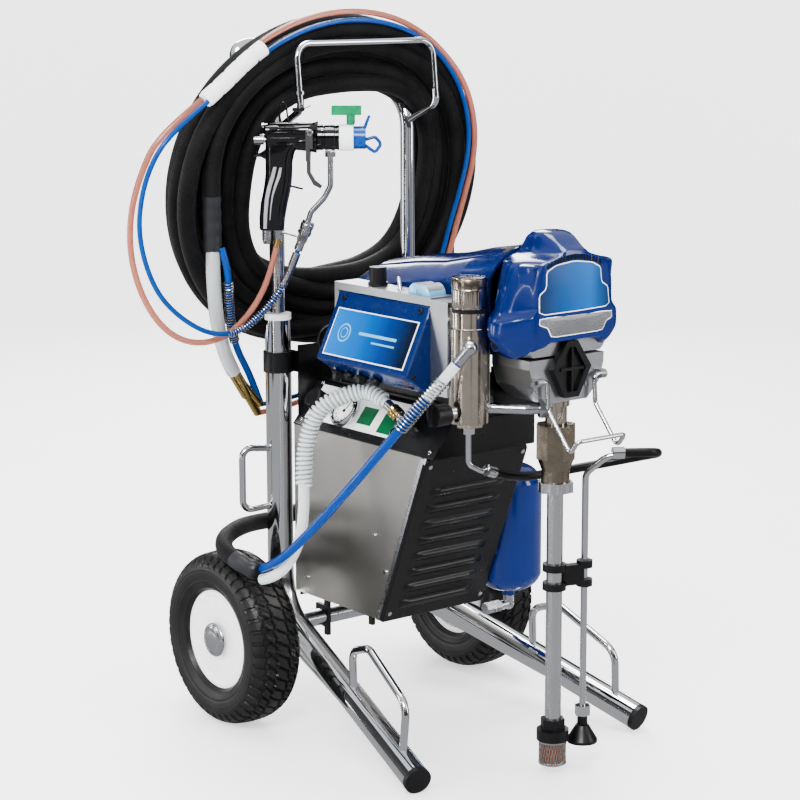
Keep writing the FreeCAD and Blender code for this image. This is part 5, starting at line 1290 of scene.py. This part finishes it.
# ------------------------------------------------------------------ tyres with moulded tread
def tyre(name, s_):
    x0, x1 = 180.0, 263.0
    prof = [(x0 + 14, 72.0), (x0 + 8, 76.5), (x0 + 4, 84), (x0 + 1.0, 92), (x0, 100), (x0 + 1.0, 107), (x0 + 3.4, 113), (x0 + 7, 118), (x0 + 12, 122), (x0 + 20, 125.2), (x0 + 30, 126.6),
            (x0 + 41.5, 127), (x1 - 30, 126.6), (x1 - 20, 125.2), (x1 - 12, 122), (x1 - 7, 118), (x1 - 3.4, 113), (x1 - 1.0, 107), (x1, 100), (x1 - 1.0, 92), (x1 - 4, 84), (x1 - 8, 76.5), (x1 - 14, 72.0)]
    P = np.array(prof)
    sa = np.concatenate([[0], np.cumsum(np.linalg.norm(np.diff(P, axis=0), axis=1))])
    m = 118
    t = np.linspace(0, sa[-1], m)
    X, R = np.interp(t, sa, P[:, 0]), np.interp(t, sa, P[:, 1])
    N = 44 * 15
    verts, faces = [], []
    for i in range(N):
        th = 2 * math.pi * i / N
        ph = 44.0 * i / N
        tri = abs(((ph) % 1.0) * 2 - 1) * 2 - 1
        for j in range(m):
            c = X[j] - 221.5
            a = abs(c)
            dep = 0.0
            if R[j] > 109 and a < 41:
                if abs(a - (11.0 + 1.5 * tri)) < 1.7:
                    dep = 3.2
                elif abs(a - (26.0 - 1.5 * tri)) < 1.7:
                    dep = 3.2
                elif a <= 11:
                    f = (ph + 0.030 * c) % 1.0
                    dep = 2.6 if f < 0.16 else 0.0
                elif a <= 26:
                    f = (ph + math.copysign(0.040, c) * (a - 11)) % 1.0
                    dep = 3.0 if f < 0.24 else (0.8 if abs(f - 0.62) < 0.05 else 0.0)
                else:
                    f = (ph + 0.35 + 0.006 * (a - 26)) % 1.0
                    dep = 3.0 if f < 0.30 else 0.0
                    dep *= 1.0 if a < 38 else max(0.0, (41 - a) / 3.0)
            nxr, nrr = 0.0, 1.0
            if a > 33:
                k = min(1.0, (a - 33) / 8.0)
                nxr, nrr = math.copysign(k * 0.8, c), 1 - 0.5 * k
            side = 0.0
            for rr, hw, hh in ((88.0, 0.9, 0.7), (94.0, 0.7, 0.5), (104.5, 0.9, 0.6), (77.5, 1.0, 0.7)):
                if abs(R[j] - rr) < hw and a > 30:
                    side = -hh
            r = R[j] - dep * nrr
            x = X[j] - dep * nxr + (math.copysign(side, c) if side else 0.0)
            verts.append(A(s_ * x, r * math.cos(th), 127.0 + r * math.sin(th)))
    for i in range(N):
        for j in range(m - 1):
            a0, b0 = i * m, ((i + 1) % N) * m
            faces.append((a0 + j, a0 + j + 1, b0 + j + 1, b0 + j))
    for i in range(N):
        a0, b0 = i * m, ((i + 1) % N) * m
        faces.append((a0 + m - 1, a0, b0, b0 + m - 1))
    o = mesh_obj("tread_" + name, verts, faces, "tyre_rubber", "wheel_" + name, 38)
    bm = bmesh.new()
    bm.from_mesh(o.data)
    bmesh.ops.recalc_face_normals(bm, faces=bm.faces)
    bm.to_mesh(o.data)
    bm.free()
    smooth(o.data, 38)
    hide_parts("tyre_" + name)


tyre("left", -1)
tyre("right", 1)
# hub details: bead ring and the pressed steel end caps
for name, s_ in (("left", -1), ("right", 1)):
    bm = bmesh.new()
    turned(bm, A(s_ * 246, 0, 127), (s_, 0, 0), [(0, 71.2), (2.2, 71.6), (3.6, 70.8), (3.8, 69.6), (2.6, 68.6), (0.5, 68.2)], 96, 0)
    from_bm("rim_bead_" + name, bm, "hub_white", "wheel_" + name, 40)
    bm = bmesh.new()
    turned(bm, A(s_ * 251.4, 0, 127), (s_, 0, 0), [(0, 24.4), (1.2, 25.4), (3.6, 25.0), (5.6, 23.4), (6.4, 20.5), (6.2, 15.5), (7.6, 12.8), (8.0, 8), (8.1, 0.1)], 56, 0)
    from_bm("axle_cap_" + name, bm, "zinc_plate", "cart", 40)

# ------------------------------------------------------------------ suction strainer: copper-coloured core in a wire cage
bm = bmesh.new()
turned(bm, A(MX, PUMP_Y, 13), (0, 0, 1), [(0, 16.0), (31, 16.0)], 48, 0)
for k in range(30):
    a_ = 2 * math.pi * k / 30
    for sgn in (-1, 1):
        p_ = [A(MX + 18.3 * math.cos(a_ + sgn * 0.34 * q / 6), PUMP_Y + 18.3 * math.sin(a_ + sgn * 0.34 * q / 6), 14.5 + 30.5 * q / 6) for q in range(7)]
        for u_, v_ in zip(p_, p_[1:]):
            d_ = v_ - u_
            add_rings(bm, u_, d_, [(0, 0.0005), (d_.length, 0.0005)], 5, 1)
turned(bm, A(MX, PUMP_Y, 42), (0, 0, 1), [(0, 18.6), (0.8, 19.4), (4.0, 19.4), (4.6, 18.6)], 48, 1)
turned(bm, A(MX, PUMP_Y, 11.4), (0, 0, 1), [(0, 17.6), (0.8, 19.2), (3.4, 19.2), (4.0, 18.4)], 48, 1)
cage = from_bm("strainer_cage", bm, "copper", "cart", 40, mats=["copper", "steel_machined"])
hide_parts("strainer_basket")
